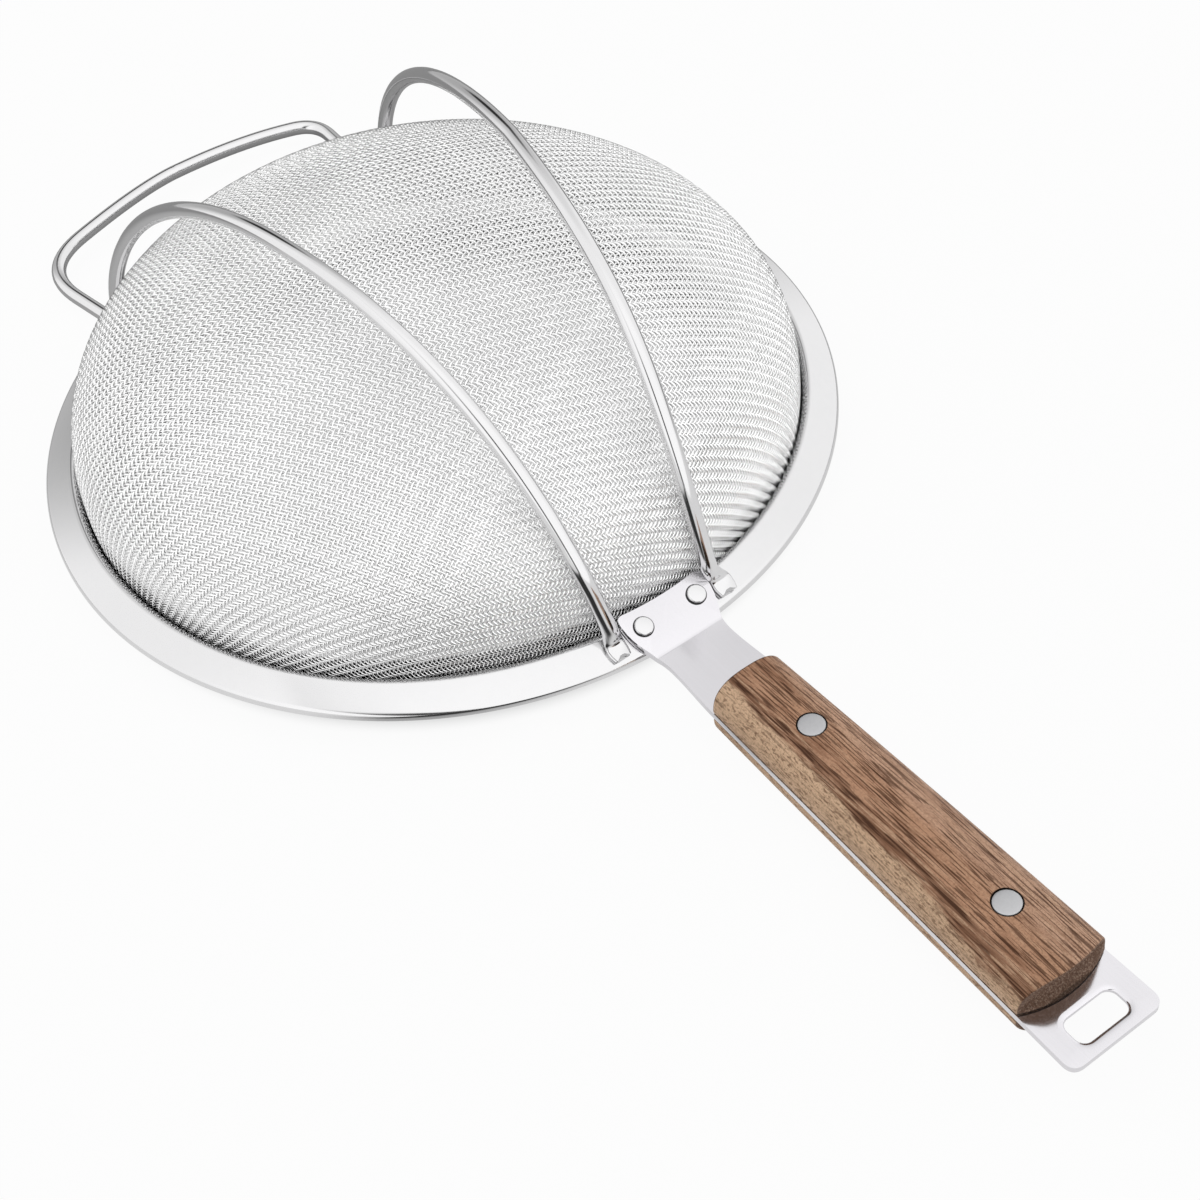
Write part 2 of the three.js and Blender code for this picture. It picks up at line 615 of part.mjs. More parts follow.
// The middle line of half the wire, from the tip of a foot to the middle of the pot rest's far bar.
function halfWireRoute() {
  const footLift = (seatGap + wireFootThickness / 2) / Math.cos(flangeSlope);
  const onFlange = (x, y) => place(x, y, flangeTop(Math.hypot(x, y)) + footLift);
  const footX = rimRadius - wireFootInset;
  const tip = onFlange(footX + wireTipReach, wireFootY);
  const foot = onFlange(footX, wireFootY);
  const crown = place(0, wireCrownY, domeFoot + bowlDepth + wireStandOff);
  const backRadius = rimRadius + wireRadius + seatGap;
  const backX = Math.sqrt(backRadius ** 2 - wireBackY ** 2) + restDrop / Math.tan(wireBackLean);
  const back = place(-backX, wireBackY, -restDrop);
  const restZ = (reach) => back.z + (rimRadius + reach + back.x) * Math.tan(restRise);
  const corner = place(-rimRadius - restCornerReach, restCornerY, restZ(restCornerReach));
  const end = place(-rimRadius - restReach, 0, restZ(restReach));
  const bar = place(end.x, restCornerY * restBow, end.z);

  // The front arm leaves the foot at the legs' lean and comes level at the crown
  const legRun = wireLegShare * (crown.z - foot.z);
  const legTop = foot.clone().lerp(crown, legRun / Math.tan(wireLegLean) / foot.x).setZ(foot.z + legRun);
  const crownFront = crown.clone().lerp(foot, wireFrontPull).setZ(crown.z);

  // The back arm falls almost square to the rim and close past its edge
  const backRun = wireBackShare * (crown.z - back.z);
  const backTop = back.clone().lerp(crown, backRun / Math.tan(wireBackLean) / backX).setZ(back.z + backRun);
  const crownBack = crown.clone().lerp(back, wireBackPull).setZ(crown.z);

  const footTurn = wireTipReach * wireFootTurn;
  const backTurn = wireDiameter * wireBackTurn;
  const intoFoot = towards(foot, tip, footTurn);
  const upFoot = towards(foot, legTop, footTurn);
  const downBack = towards(back, backTop, backTurn);
  const outBack = towards(back, corner, backTurn);
  const intoCorner = towards(corner, back, restCornerTrim);
  const outCorner = towards(corner, bar, restCornerTrim);
  const pieces = [
    [new THREE.LineCurve3(tip, intoFoot), 2],
    [new THREE.QuadraticBezierCurve3(intoFoot, foot, upFoot), 4],
    [new THREE.CubicBezierCurve3(upFoot, legTop, crownFront, crown), 16],
    [new THREE.CubicBezierCurve3(crown, crownBack, backTop, downBack), 15],
    [new THREE.QuadraticBezierCurve3(downBack, back, outBack), 5],
    [new THREE.QuadraticBezierCurve3(intoCorner, corner, outCorner), 6],
    [new THREE.QuadraticBezierCurve3(outCorner, bar, end), 8],
  ];
  const points = [];
  for (const [curve, steps] of pieces) {
    const along = curve.getPoints(steps).map(clearOfMesh);
    const last = points[points.length - 1];
    points.push(...along.filter((point) => !last || point.distanceTo(last) > seatGap));
  }
  return points;
}

// Rings along half of the wire, flat on the flange at the foot and round from a little way up the leg.
function halfWireRings() {
  const points = halfWireRoute();
  const roundFrom = wireTipReach;
  const roundTo = 3 * wireTipReach;
  const across = place(0, 1, 0);
  let travelled = 0;
  return points.map((point, p) => {
    const before = points[Math.max(p - 1, 0)];
    const after = points[p + 1] ?? point.clone().setY(-points[p - 1].y);
    const along = after.clone().sub(before).normalize();
    travelled += point.distanceTo(before);
    across.addScaledVector(along, -across.dot(along)).normalize();
    const up = along.clone().cross(across);
    const round = THREE.MathUtils.smoothstep(travelled, roundFrom, roundTo);
    const tipTaper = THREE.MathUtils.lerp(wireTipTaper, 1, Math.min(travelled / wireFootThickness, 1));
    const wide = THREE.MathUtils.lerp(wireFootWidth / 2, wireRadius, round) * tipTaper;
    const thick = THREE.MathUtils.lerp(wireFootThickness / 2, wireRadius, round);
    const ring = [];
    for (let i = 0; i < wireSides; i += 1) {
      const turn = ((i + 0.5) / wireSides) * 2 * Math.PI;
      const spot = point.clone().addScaledVector(across, wide * Math.cos(turn));
      ring.push(spot.addScaledVector(up, thick * Math.sin(turn)));
    }
    return ring;
  });
}

function guardWire() {
  const half = halfWireRings();
  half[half.length - 1].forEach((point) => point.setY(0));
  const other = half.slice(0, -1).reverse();
  const mirrored = other.map((ring) => ring.map((point) => place(point.x, -point.y, point.z)));
  return loft([...half, ...mirrored]);
}

// The assembly, in the bowl's own frame
const assembly = new THREE.Group();
assembly.add(mesh('mesh_bowl', clothGeometry(), wovenSteel));
assembly.add(mesh('rim_flange', rimGeometry, steel));
assembly.add(mesh('clamp_ring', clampGeometry, satinSteel));
assembly.add(mesh('guard_wire', guardWire(), steel));
assembly.add(mesh('handle_strap', strapGeometry, satinSteel));

const upperScale = mesh('upper_scale', scaleGeometry(upperHeight), walnut);
upperScale.position.z = upperSeat;
assembly.add(upperScale);

const lowerScale = mesh('lower_scale', scaleGeometry(lowerHeight), walnut);
lowerScale.rotation.x = Math.PI;
lowerScale.position.z = lowerSeat;
assembly.add(lowerScale);

assembly.add(mesh('front_pin', pinGeometry(pinFrontX), satinSteel));
assembly.add(mesh('back_pin', pinGeometry(pinBackX), satinSteel));

for (const [name, side] of [['left_rivet', -rivetSide], ['right_rivet', rivetSide]]) {
  const rivet = mesh(name, rivetGeometry(), steel);
  const squareOut = new THREE.Vector3(Math.sin(flangeSlope), 0, Math.cos(flangeSlope));
  rivet.rotation.y = flangeSlope;
  rivet.position.set(rivetX, side, flangeTop(rivetX));
  rivet.position.addScaledVector(squareOut, seatGap + strapThickness);
  assembly.add(rivet);
}

// The origin stands at the middle of the footprint, on the surface that the strainer rests on
const box = new THREE.Box3().setFromObject(assembly, true);
const middle = box.getCenter(new THREE.Vector3());
assembly.position.set(-middle.x, -middle.y, -box.min.z);

const strainer = new THREE.Group();
strainer.name = 'fine_mesh_strainer';
strainer.add(assembly);

export default strainer;
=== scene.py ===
"""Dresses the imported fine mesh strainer: wire bowl, rim, guard wire, steel strap and wooden grip."""

import logging
import math
from dataclasses import dataclass, field
from enum import Enum
from typing import Callable, Iterable, Sequence, Union

import bmesh
import bpy
from mathutils import Matrix, Vector
from mathutils.geometry import interpolate_bezier


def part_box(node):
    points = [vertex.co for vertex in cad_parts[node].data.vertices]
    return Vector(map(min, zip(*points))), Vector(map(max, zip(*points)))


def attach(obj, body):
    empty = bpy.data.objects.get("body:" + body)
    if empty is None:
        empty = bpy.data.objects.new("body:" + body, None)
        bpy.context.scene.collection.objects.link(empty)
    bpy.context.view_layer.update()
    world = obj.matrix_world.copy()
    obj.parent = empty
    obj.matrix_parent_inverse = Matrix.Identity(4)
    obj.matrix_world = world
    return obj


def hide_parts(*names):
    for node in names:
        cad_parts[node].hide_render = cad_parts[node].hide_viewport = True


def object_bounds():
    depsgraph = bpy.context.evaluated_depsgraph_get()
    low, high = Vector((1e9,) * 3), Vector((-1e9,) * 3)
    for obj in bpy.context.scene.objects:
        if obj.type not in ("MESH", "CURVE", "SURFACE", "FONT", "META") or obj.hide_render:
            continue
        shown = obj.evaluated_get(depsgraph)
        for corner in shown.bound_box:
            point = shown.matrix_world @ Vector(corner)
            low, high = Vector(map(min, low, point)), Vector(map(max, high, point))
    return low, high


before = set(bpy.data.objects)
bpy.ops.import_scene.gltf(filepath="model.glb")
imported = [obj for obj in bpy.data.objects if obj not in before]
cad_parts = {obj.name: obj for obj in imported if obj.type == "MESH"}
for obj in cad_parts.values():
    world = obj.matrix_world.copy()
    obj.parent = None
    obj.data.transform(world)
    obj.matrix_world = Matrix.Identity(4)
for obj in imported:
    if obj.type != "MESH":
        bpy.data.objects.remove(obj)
CAD_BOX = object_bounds()

LOG = logging.getLogger("strainer")
MM = 0.001
WELD = 1e-4  # millimetres within which two vertices are one
TINY = 1e-6  # millimetres under which a way has no direction
PHOTO_SIDE = 1200  # pixels
NOISE_MIDDLE = 0.5  # the value that a noise swings about
MIX_FIRST, MIX_SECOND = 6, 7  # the Mix node's two colour inputs
Triple = tuple[float, float, float]
Colour = tuple[float, float, float]
Pair = tuple[float, float]
Loop = tuple[list[bmesh.types.BMVert], list[bmesh.types.BMEdge]]
WHITE: Colour = (1.0, 1.0, 1.0)


class Slot(Enum):
    """The record's material slots."""

    WOVEN = "woven_steel"
    POLISHED = "polished_steel"
    SATIN = "satin_steel"
    WALNUT = "walnut"


class Family(Enum):
    """The two families of wires in the cloth."""

    WARP = "warp"
    WEFT = "weft"


class Term:
    """A shader socket that takes part in Python arithmetic."""

    def __init__(self, graph: "Graph", socket: bpy.types.NodeSocket) -> None:
        """Keeps the socket and the graph that it belongs to."""
        self.graph = graph
        self.socket = socket

    def _math(self, operation: str, *values: "Operand") -> "Term":
        """Adds a Math node over the given values."""
        return self.graph.add("ShaderNodeMath", {"operation": operation}, dict(enumerate(values)))

    def __add__(self, other: "Operand") -> "Term":
        """Self plus other."""
        return self._math("ADD", self, other)

    def __radd__(self, other: "Operand") -> "Term":
        """Other plus self."""
        return self._math("ADD", other, self)

    def __sub__(self, other: "Operand") -> "Term":
        """Self less other."""
        return self._math("SUBTRACT", self, other)

    def __rsub__(self, other: "Operand") -> "Term":
        """Other less self."""
        return self._math("SUBTRACT", other, self)

    def __mul__(self, other: "Operand") -> "Term":
        """Self times other."""
        return self._math("MULTIPLY", self, other)

    def __rmul__(self, other: "Operand") -> "Term":
        """Other times self."""
        return self._math("MULTIPLY", other, self)

    def __pow__(self, other: "Operand") -> "Term":
        """Self raised to other."""
        return self._math("POWER", self, other)

    def largest(self, other: "Operand") -> "Term":
        """The larger of self and other."""
        return self._math("MAXIMUM", self, other)

    def root(self) -> "Term":
        """The square root of self."""
        return self._math("SQRT", self)

    def size(self) -> "Term":
        """Self without its sign."""
        return self._math("ABSOLUTE", self)

    def step(self, low: float, high: float) -> "Term":
        """A smooth rise from 0 at low to 1 at high, which may lie below it."""
        settings = {"interpolation_type": "SMOOTHSTEP"}
        sockets = {"Value": self, "From Min": low, "From Max": high, "To Min": 0.0, "To Max": 1.0}
        return self.graph.add("ShaderNodeMapRange", settings, sockets)

    def grow(self, start: float, gain: float) -> "Term":
        """Start plus gain times self."""
        return start + self * gain


Operand = Union[Term, float]


class Graph:
    """A node tree that is written as expressions."""

    def __init__(self, tree: bpy.types.NodeTree) -> None:
        """Empties the tree.

        Args:
            tree: the node tree of a material or a world.
        """
        self.tree = tree
        tree.nodes.clear()

    def add(self, kind: str, settings: dict, sockets: dict, output: str = "") -> Term:
        """Adds a node, sets it up and links it.

        Args:
            kind: the node's type.
            settings: properties that are set first.
            sockets: the value, or the Term to link, of each input by name or number.
            output: which output is wanted, or nothing for the first in use.

        Returns:
            The wanted output.
        """
        node = self.tree.nodes.new(kind)
        for key, value in settings.items():
            setattr(node, key, value)
        for key, value in sockets.items():
            if isinstance(value, Term):
                self.tree.links.new(value.socket, node.inputs[key])
            else:
                node.inputs[key].default_value = value
        shown = [s for s in node.outputs if s.enabled]
        named = [s for s in shown if s.name == output]
        return Term(self, (named or shown)[0])

    def add_output(self, kind: str, shader: Term) -> None:
        """Links the shader to an output node of the given type."""
        node = self.tree.nodes.new(kind)
        self.tree.links.new(shader.socket, node.inputs["Surface"])

    def mix(self, share: Operand, first: Union[Term, Colour], second: Union[Term, Colour]) -> Term:
        """Mixes two colours.

        Args:
            share: how much of the second is taken.
            first: a colour or a colour socket.
            second: a colour or a colour socket.

        Returns:
            The mixed colour.
        """
        first, second = ((*c, 1.0) if isinstance(c, tuple) else c for c in (first, second))
        sockets = {0: share, MIX_FIRST: first, MIX_SECOND: second}
        return self.add("ShaderNodeMix", {"data_type": "RGBA"}, sockets)

    def here(self) -> Term:
        """Object coordinates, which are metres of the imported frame."""
        return self.add("ShaderNodeTexCoord", {}, {}, "Object")

    def place(self, scale: Triple = (1.0, 1.0, 1.0), move: Triple = (0.0, 0.0, 0.0),
              turn: Triple = (0.0, 0.0, 0.0)) -> Term:
        """Object coordinates through a Mapping node.

        Args:
            scale: factors along X, Y and Z.
            move: the shift in metres.
            turn: the turn about X, Y and Z.

        Returns:
            The mapped vector.
        """
        sockets = {"Vector": self.here(), "Location": move, "Rotation": turn, "Scale": scale}
        return self.add("ShaderNodeMapping", {}, sockets)

    def ray(self, name: str) -> Term:
        """1 for the kind of ray that the Light Path node's output names."""
        return self.add("ShaderNodeLightPath", {}, {}, name)

    def length(self, vector: Term) -> Term:
        """The length of a vector socket."""
        return self.add("ShaderNodeVectorMath", {"operation": "LENGTH"}, {0: vector}, "Value")

    def part(self, vector: Term, axis: str) -> Term:
        """One coordinate of a vector, by its letter."""
        return self.add("ShaderNodeSeparateXYZ", {}, {"Vector": vector}, axis)

    def dot(self, vector: Term, other: Triple) -> Term:
        """The dot product of a vector socket and a fixed vector."""
        return self.add("ShaderNodeVectorMath", {"operation": "DOT_PRODUCT"}, {0: vector, 1: other}, "Value")

    def noise(self, vector: Term, scale: float, detail: float = 2.0, roughness: float = 0.5,
              distortion: float = 0.0) -> Term:
        """A noise value from 0 to 1.

        Args:
            vector: where it is read.
            scale: features per metre.
            detail: octaves.
            roughness: weight of the finer octaves.
            distortion: how far it swirls.

        Returns:
            The noise.
        """
        sockets = {"Vector": vector, "Scale": scale, "Detail": detail, "Roughness": roughness,
                   "Distortion": distortion}
        return self.add("ShaderNodeTexNoise", {}, sockets, "Fac")


class MaterialGraph(Graph):
    """A material with one Principled shader."""

    def __init__(self, name: str) -> None:
        """Makes the material.

        Args:
            name: the finish's name.
        """
        self.material = bpy.data.materials.new(name)
        self.material.use_nodes = True
        super().__init__(self.material.node_tree)

    def finish(self, constants: dict, varying: dict, height: Union[Term, None] = None,
               depth: float = 0.0) -> bpy.types.Material:
        """Adds the shader and the output.

        Args:
            constants: values of the shader's own sockets.
            varying: Terms for the sockets that change over the surface.
            height: the surface's relief, from 0 to 1.
            depth: the relief's depth in metres.

        Returns:
            The material.
        """
        sockets = {**constants, **varying}
        if height is not None:
            bump = {"Height": height, "Distance": depth, "Strength": 1.0}
            sockets["Normal"] = self.add("ShaderNodeBump", {}, bump)
        shader = self.add("ShaderNodeBsdfPrincipled", {}, sockets)
        self.add_output("ShaderNodeOutputMaterial", shader)
        return self.material


@dataclass(frozen=True)
class SteelFinish:
    """Stainless steel: its tone, its gloss and the marks of how it was worked."""

    name: str
    colour: Colour
    roughness: float
    spread: float
    grain: Triple
    relief: float
    mottle: float = 0.05
    # the near-black colour that painted shade takes
    painted_shade_colour: Colour = (0.02, 0.02, 0.02)
    marks_detail: float = 3.0
    marks_roughness: float = 0.6
    cloud_scale: float = 45.0
    tone_band: Pair = (0.3, 0.7)
    marks_in_tone: float = 0.5
    marks_in_gloss: float = 0.6

    def material(self, seam: Union[Callable[[Graph], Term], None] = None) -> bpy.types.Material:
        """Makes the material.

        Args:
            seam: makes the mask of where shade is painted in the dark colour, or nothing.

        Returns:
            A metal whose tone and gloss vary along the marks of its working, with painted shade where the
            mask asks for it.
        """
        graph = MaterialGraph(self.name)
        marks = graph.noise(graph.place(self.grain), 1.0, self.marks_detail, self.marks_roughness)
        cloud = graph.noise(graph.place(), self.cloud_scale)
        worked = marks * self.marks_in_tone + cloud * (1.0 - self.marks_in_tone)
        tone = graph.mix(worked.step(*self.tone_band),
                         tuple(c * (1.0 - self.mottle) for c in self.colour),
                         tuple(min(1.0, c * (1.0 + self.mottle)) for c in self.colour))
        if seam is not None:
            # painted shade: the tone goes to the near-black colour where the mask is 1
            tone = graph.mix(seam(graph), tone, self.painted_shade_colour)
        worked = marks * self.marks_in_gloss + cloud * (1.0 - self.marks_in_gloss)
        gloss = self.roughness + (worked - NOISE_MIDDLE) * self.spread
        return graph.finish({"Metallic": 1.0}, {"Base Color": tone, "Roughness": gloss}, marks, self.relief)


@dataclass(frozen=True)
class Grain:
    """A noise that is drawn out along the wood."""

    stretch: Triple
    move: Triple = (0.0, 0.0, 0.0)
    detail: float = 1.0
    roughness: float = 0.5
    swirl: float = 0.0

    def value(self, graph: Graph, turn: Triple) -> Term:
        """The noise in a material.

        Args:
            graph: the material.
            turn: how the grain lies, about X, Y and Z.

        Returns:
            Values from 0 to 1.
        """
        spot = graph.place(self.stretch, self.move, turn)
        return graph.noise(spot, 1.0, self.detail, self.roughness, self.swirl)


@dataclass(frozen=True)
class GripFit:
    """Where the wood meets other pieces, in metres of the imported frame."""

    front: float
    pins: Sequence[float]
    hole: float
    tang_middle: float
    tang_half: float


@dataclass(frozen=True)
class WalnutFinish:
    """Oiled hardwood: pale sapwood along one side, a dark vein, a red-brown heart and fine dark fibres.

    Lengths are metres. A band is the range in which a noise comes to count, and a depth is how strongly a
    mark covers the wood: all over, and what is added in the part of the wood that the mark follows.
    """

    name: str
    sapwood: Colour = (0.72, 0.495, 0.325)
    heart: Colour = (0.53, 0.300, 0.185)
    flank: Colour = (0.62, 0.385, 0.262)
    cloud: Colour = (0.225, 0.100, 0.052)
    vein: Colour = (0.125, 0.057, 0.030)
    fibre: Colour = (0.070, 0.028, 0.013)
    pore: Colour = (0.16, 0.085, 0.048)
    end: Colour = (0.15, 0.088, 0.060)
    end_fleck: Colour = (0.46, 0.33, 0.255)
    # the near-black colour of the painted shade in the joints with the steel
    joint_painted_shade: Colour = (0.015, 0.009, 0.006)
    lean: float = 0.055
    sway: float = 0.0060
    sway_grain: Grain = Grain((16.0, 70.0, 40.0), detail=3.0, roughness=0.55)
    ragged: float = 0.0022
    ragged_grain: Grain = Grain((150.0, 700.0, 500.0), detail=2.0, roughness=0.6)
    vein_place: float = -0.0046
    vein_width: float = 0.0021
    vein_core: float = 0.00063
    vein_lines: Pair = (0.40, 0.60)
    vein_depth: Pair = (0.35, 0.50)
    sap_edge: float = -0.0060
    sap_blur: float = 0.0005
    flank_edge: float = 0.0055
    flank_blur: float = 0.0025
    flank_share: float = 0.6
    patch_grain: Grain = Grain((34.0, 260.0, 180.0), (0.4, 0.2, 0.1), 3.0, 0.65, 0.3)
    patch_band: Pair = (0.46, 0.64)
    patch_depth: float = 0.66
    streak_grain: Grain = Grain((12.0, 640.0, 420.0), (0.1, 0.7, 0.3), 3.0, 0.6)
    streak_band: Pair = (0.52, 0.66)
    streak_depth: Pair = (0.12, 0.40)
    line_grain: Grain = Grain((65.0, 1900.0, 1500.0), (0.2, 0.5, 0.9))
    line_band: Pair = (0.57, 0.62)
    line_depth: Pair = (0.72, -0.52)
    line_gain: float = 0.25
    pale_band: Pair = (0.42, 0.34)
    pale_depth: Pair = (0.25, 0.30)
    thread_grain: Grain = Grain((110.0, 2500.0, 1900.0), (0.7, 0.1, 0.4))
    thread_band: Pair = (0.58, 0.63)
    thread_depth: Pair = (0.72, -0.34)
    pore_grain: Grain = Grain((700.0, 2300.0, 2000.0), (0.6, 0.3, 0.2))
    pore_band: Pair = (0.56, 0.63)
    pore_depth: Pair = (0.22, 0.40)
    grit_grain: Grain = Grain((2300.0, 2300.0, 2300.0), detail=2.0, roughness=0.7)
    grit_band: Pair = (0.46, 0.66)
    grit_depth: float = 0.40
    end_band: Pair = (0.45, 0.80)
    end_depth: float = 0.92
    fleck_band: Pair = (0.44, 0.74)
    tang_line: Pair = (0.00030, 0.00005)
    tail_line: Pair = (0.00065, 0.00035)
    front_line: Pair = (0.00060, 0.00020)
    pin_line: float = 0.0002
    joint_shade_depth: float = 0.8
    gloss: float = 0.48
    line_gloss: float = 0.25
    pore_gloss: float = 0.20
    end_gloss: float = 0.15
    relief: float = 0.00008
    line_relief: float = 0.50
    pore_relief: float = 0.35
    grit_relief: float = 0.15
    specular: float = 0.15

    def material(self, fit: GripFit) -> bpy.types.Material:
        """Makes the material.

        Args:
            fit: where the wood meets other pieces.

        Returns:
            Wood whose grain runs along the grip, a little askew, with dark end grain and painted shade in
            the joints.
        """
        graph = MaterialGraph(self.name)
        here = graph.here()
        turn = (0.0, 0.0, math.atan(self.lean))
        sway, ragged = (g.value(graph, turn) - NOISE_MIDDLE for g in (self.sway_grain, self.ragged_grain))
        patches, streaks = (g.value(graph, turn) for g in (self.patch_grain, self.streak_grain))
        lines, threads = (g.value(graph, turn) for g in (self.line_grain, self.thread_grain))
        pores, grit = self.pore_grain.value(graph, turn), self.grit_grain.value(graph, (0.0, 0.0, 0.0))
        run = graph.part(here, "X") - fit.front
        across = graph.part(here, "Y") + run * self.lean + sway * self.sway + ragged * self.ragged
        sap = across.step(self.sap_edge + self.sap_blur, self.sap_edge - self.sap_blur)
        vein = (across - self.vein_place).size().step(self.vein_width, self.vein_core)
        flank = across.step(self.flank_edge - self.flank_blur, self.flank_edge + self.flank_blur)
        heart = (1.0 - sap) * (1.0 - flank * self.flank_share)
        shade = patches.step(*self.patch_band) * heart
        base = graph.mix(flank, self.heart, self.flank)
        base = graph.mix(sap, base, self.sapwood)
        base = graph.mix(shade * self.patch_depth, base, self.cloud)
        base = graph.mix(streaks.step(*self.streak_band) * heart.grow(*self.streak_depth), base, self.cloud)
        base = graph.mix(vein * lines.step(*self.vein_lines).grow(*self.vein_depth), base, self.vein)
        base = graph.mix(lines.step(*self.pale_band) * vein.grow(*self.pale_depth), base, self.sapwood)
        base = graph.mix(grit.step(*self.grit_band) * self.grit_depth, base, self.cloud)
        stroke = lines.step(*self.line_band) * (sap.grow(*self.line_depth) + (shade + vein) * self.line_gain)
        base = graph.mix(stroke, base, self.fibre)
        base = graph.mix(threads.step(*self.thread_band) * sap.grow(*self.thread_depth), base, self.fibre)
        pit = pores.step(*self.pore_band)
        base = graph.mix(pit * sap.grow(*self.pore_depth), base, self.pore)
        facing = graph.part(graph.add("ShaderNodeNewGeometry", {}, {}, "Normal"), "X").size()
        cut = facing.step(*self.end_band)
        end = graph.mix(grit.step(*self.fleck_band), self.end, self.end_fleck)
        base = graph.mix(cut * self.end_depth, base, end)
        # painted shade along the joints with the tang, the front and the pins
        base = graph.mix(self.joints(graph, fit, cut), base, self.joint_painted_shade)
        gloss = self.gloss + pit * self.pore_gloss + (lines - NOISE_MIDDLE) * self.line_gloss
        gloss = gloss + cut * self.end_gloss
        height = (1.0 - stroke) * self.line_relief + (1.0 - pit) * self.pore_relief + grit * self.grit_relief
        return graph.finish({"Metallic": 0.0, "Specular IOR Level": self.specular},
                            {"Base Color": base, "Roughness": gloss}, height, self.relief)

    def joints(self, graph: Graph, fit: GripFit, cut: Term) -> Term:
        """The mask of the painted shade in the lines where the wood meets other pieces.

        Args:
            graph: the material.
            fit: where the wood meets them.
            cut: the mask of the end grain.

        Returns:
            Up to 1 in the lines and 0 beside them.
        """
        here = graph.here()
        x, y, z = (graph.part(here, axis) for axis in "XYZ")
        lift = (z - fit.tang_middle).size() - fit.tang_half
        mask = lift.step(*self.tang_line) * self.joint_shade_depth
        mask = mask.largest(lift.step(*self.tail_line) * cut)
        mask = mask.largest((x - fit.front).step(*self.front_line) * self.joint_shade_depth)
        for pin in fit.pins:
            away = ((x - pin) ** 2.0 + y ** 2.0).root()
            mask = mask.largest(away.step(fit.hole + self.pin_line, fit.hole))
        return mask


def bend(centre: Pair, radius: float, start: float, end: float, steps: int) -> list[Pair]:
    """Points of a round bend.

    Args:
        centre: the bend's centre.
        radius: its radius.
        start: the first angle.
        end: the last angle.
        steps: how many steps it has.

    Returns:
        The points, ends included.
    """
    turns = [start + (end - start) * i / steps for i in range(steps + 1)]
    return [(centre[0] + radius * math.cos(t), centre[1] + radius * math.sin(t)) for t in turns]


def sheet_outline(middle: Sequence[Pair], thickness: float) -> list[Pair]:
    """The closed outline of a sheet of even thickness.

    Args:
        middle: the line along the middle of the sheet.
        thickness: the sheet's thickness.

    Returns:
        The outline's points, one side and then the other backwards.
    """
    left, right = [], []
    for i, point in enumerate(middle):
        here = Vector(point)
        before = Vector(middle[max(i - 1, 0)])
        after = Vector(middle[min(i + 1, len(middle) - 1)])
        along = ((here - before).normalized() + (after - here).normalized()).normalized()
        across = Vector((-along.y, along.x)) * (thickness / 2)
        left.append(tuple(here + across))
        right.append(tuple(here - across))
    return left + right[::-1]


def linked(name: str, data: bpy.types.ID) -> bpy.types.Object:
    """Makes an object and links it to the scene.

    Args:
        name: the object's name.
        data: its mesh, curve, camera or light.

    Returns:
        The object.
    """
    thing = bpy.data.objects.new(name, data)
    bpy.context.scene.collection.objects.link(thing)
    return thing


def settled(work: bmesh.types.BMesh, name: str) -> bpy.types.Mesh:
    """Turns a worked mesh into mesh data.

    Args:
        work: the worked mesh; it is freed.
        name: the data's name.

    Returns:
        The data.
    """
    mesh = bpy.data.meshes.new(name)
    work.to_mesh(mesh)
    work.free()
    return mesh


def shown_mesh(carrier: bpy.types.Object, name: str) -> bpy.types.Mesh:
    """The mesh that an object shows with its modifiers or its curve's thickness.

    Args:
        carrier: the object.
        name: the new mesh's name.

    Returns:
        The mesh.
    """
    bpy.context.view_layer.update()
    ready = carrier.evaluated_get(bpy.context.evaluated_depsgraph_get())
    mesh = bpy.data.meshes.new_from_object(ready)
    mesh.name = name
    return mesh


def from_axes(x: Vector, y: Vector, z: Vector, spot: Vector) -> Matrix:
    """The matrix with the given axes and place.

    Args:
        x: the first axis.
        y: the second axis.
        z: the third axis.
        spot: the place.

    Returns:
        The matrix.
    """
    matrix = Matrix((x, y, z)).transposed().to_4x4()
    matrix.translation = spot
    return matrix


@dataclass(frozen=True)
class Bench:
    """Where the bowl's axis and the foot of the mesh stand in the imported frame."""

    axis_x: float
    foot_z: float

    @classmethod
    def from_frame(cls) -> "Bench":
        """Reads the place of the bowl from its CAD node."""
        low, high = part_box("mesh_bowl")
        return cls((low.x + high.x) / 2, low.z)

    def matrix(self) -> Matrix:
        """Takes millimetres about the bowl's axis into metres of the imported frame."""
        return Matrix.Translation((self.axis_x, 0.0, self.foot_z)) @ Matrix.Scale(MM, 4)

    def set_down(self, work: bmesh.types.BMesh, name: str, material: bpy.types.Material, slot: Slot,
                 replaced: Iterable[str], crease: float = 35.0) -> bpy.types.Object:
        """Turns a worked mesh into a piece that rides on the part.

        Args:
            work: the mesh in millimetres about the bowl's axis; it is freed.
            name: the piece's name.
            material: its material.
            slot: the record's slot that it takes its finish from.
            replaced: the CAD nodes that it stands for.
            crease: the angle in degrees past which an edge stays sharp.

        Returns:
            The piece.
        """
        bmesh.ops.remove_doubles(work, verts=work.verts, dist=WELD)
        bmesh.ops.recalc_face_normals(work, faces=work.faces)
        bmesh.ops.transform(work, matrix=self.matrix(), verts=work.verts)
        for face in work.faces:
            face.smooth = True
        mesh = settled(work, name)
        mesh.set_sharp_from_angle(angle=math.radians(crease))
        return self.hand_over(mesh, name, material, slot, replaced)

    def hand_over(self, mesh: bpy.types.Mesh, name: str, material: bpy.types.Material, slot: Slot,
                  replaced: Iterable[str]) -> bpy.types.Object:
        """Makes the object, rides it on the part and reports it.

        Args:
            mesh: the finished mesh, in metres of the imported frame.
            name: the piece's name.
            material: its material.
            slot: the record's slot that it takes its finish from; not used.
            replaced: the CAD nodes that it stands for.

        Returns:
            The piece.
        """
        piece = linked(name, mesh)
        mesh.materials.clear()
        mesh.materials.append(material)
        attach(piece, "root")
        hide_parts(*replaced)
        LOG.info("%s: %d faces", name, len(mesh.polygons))
        return piece


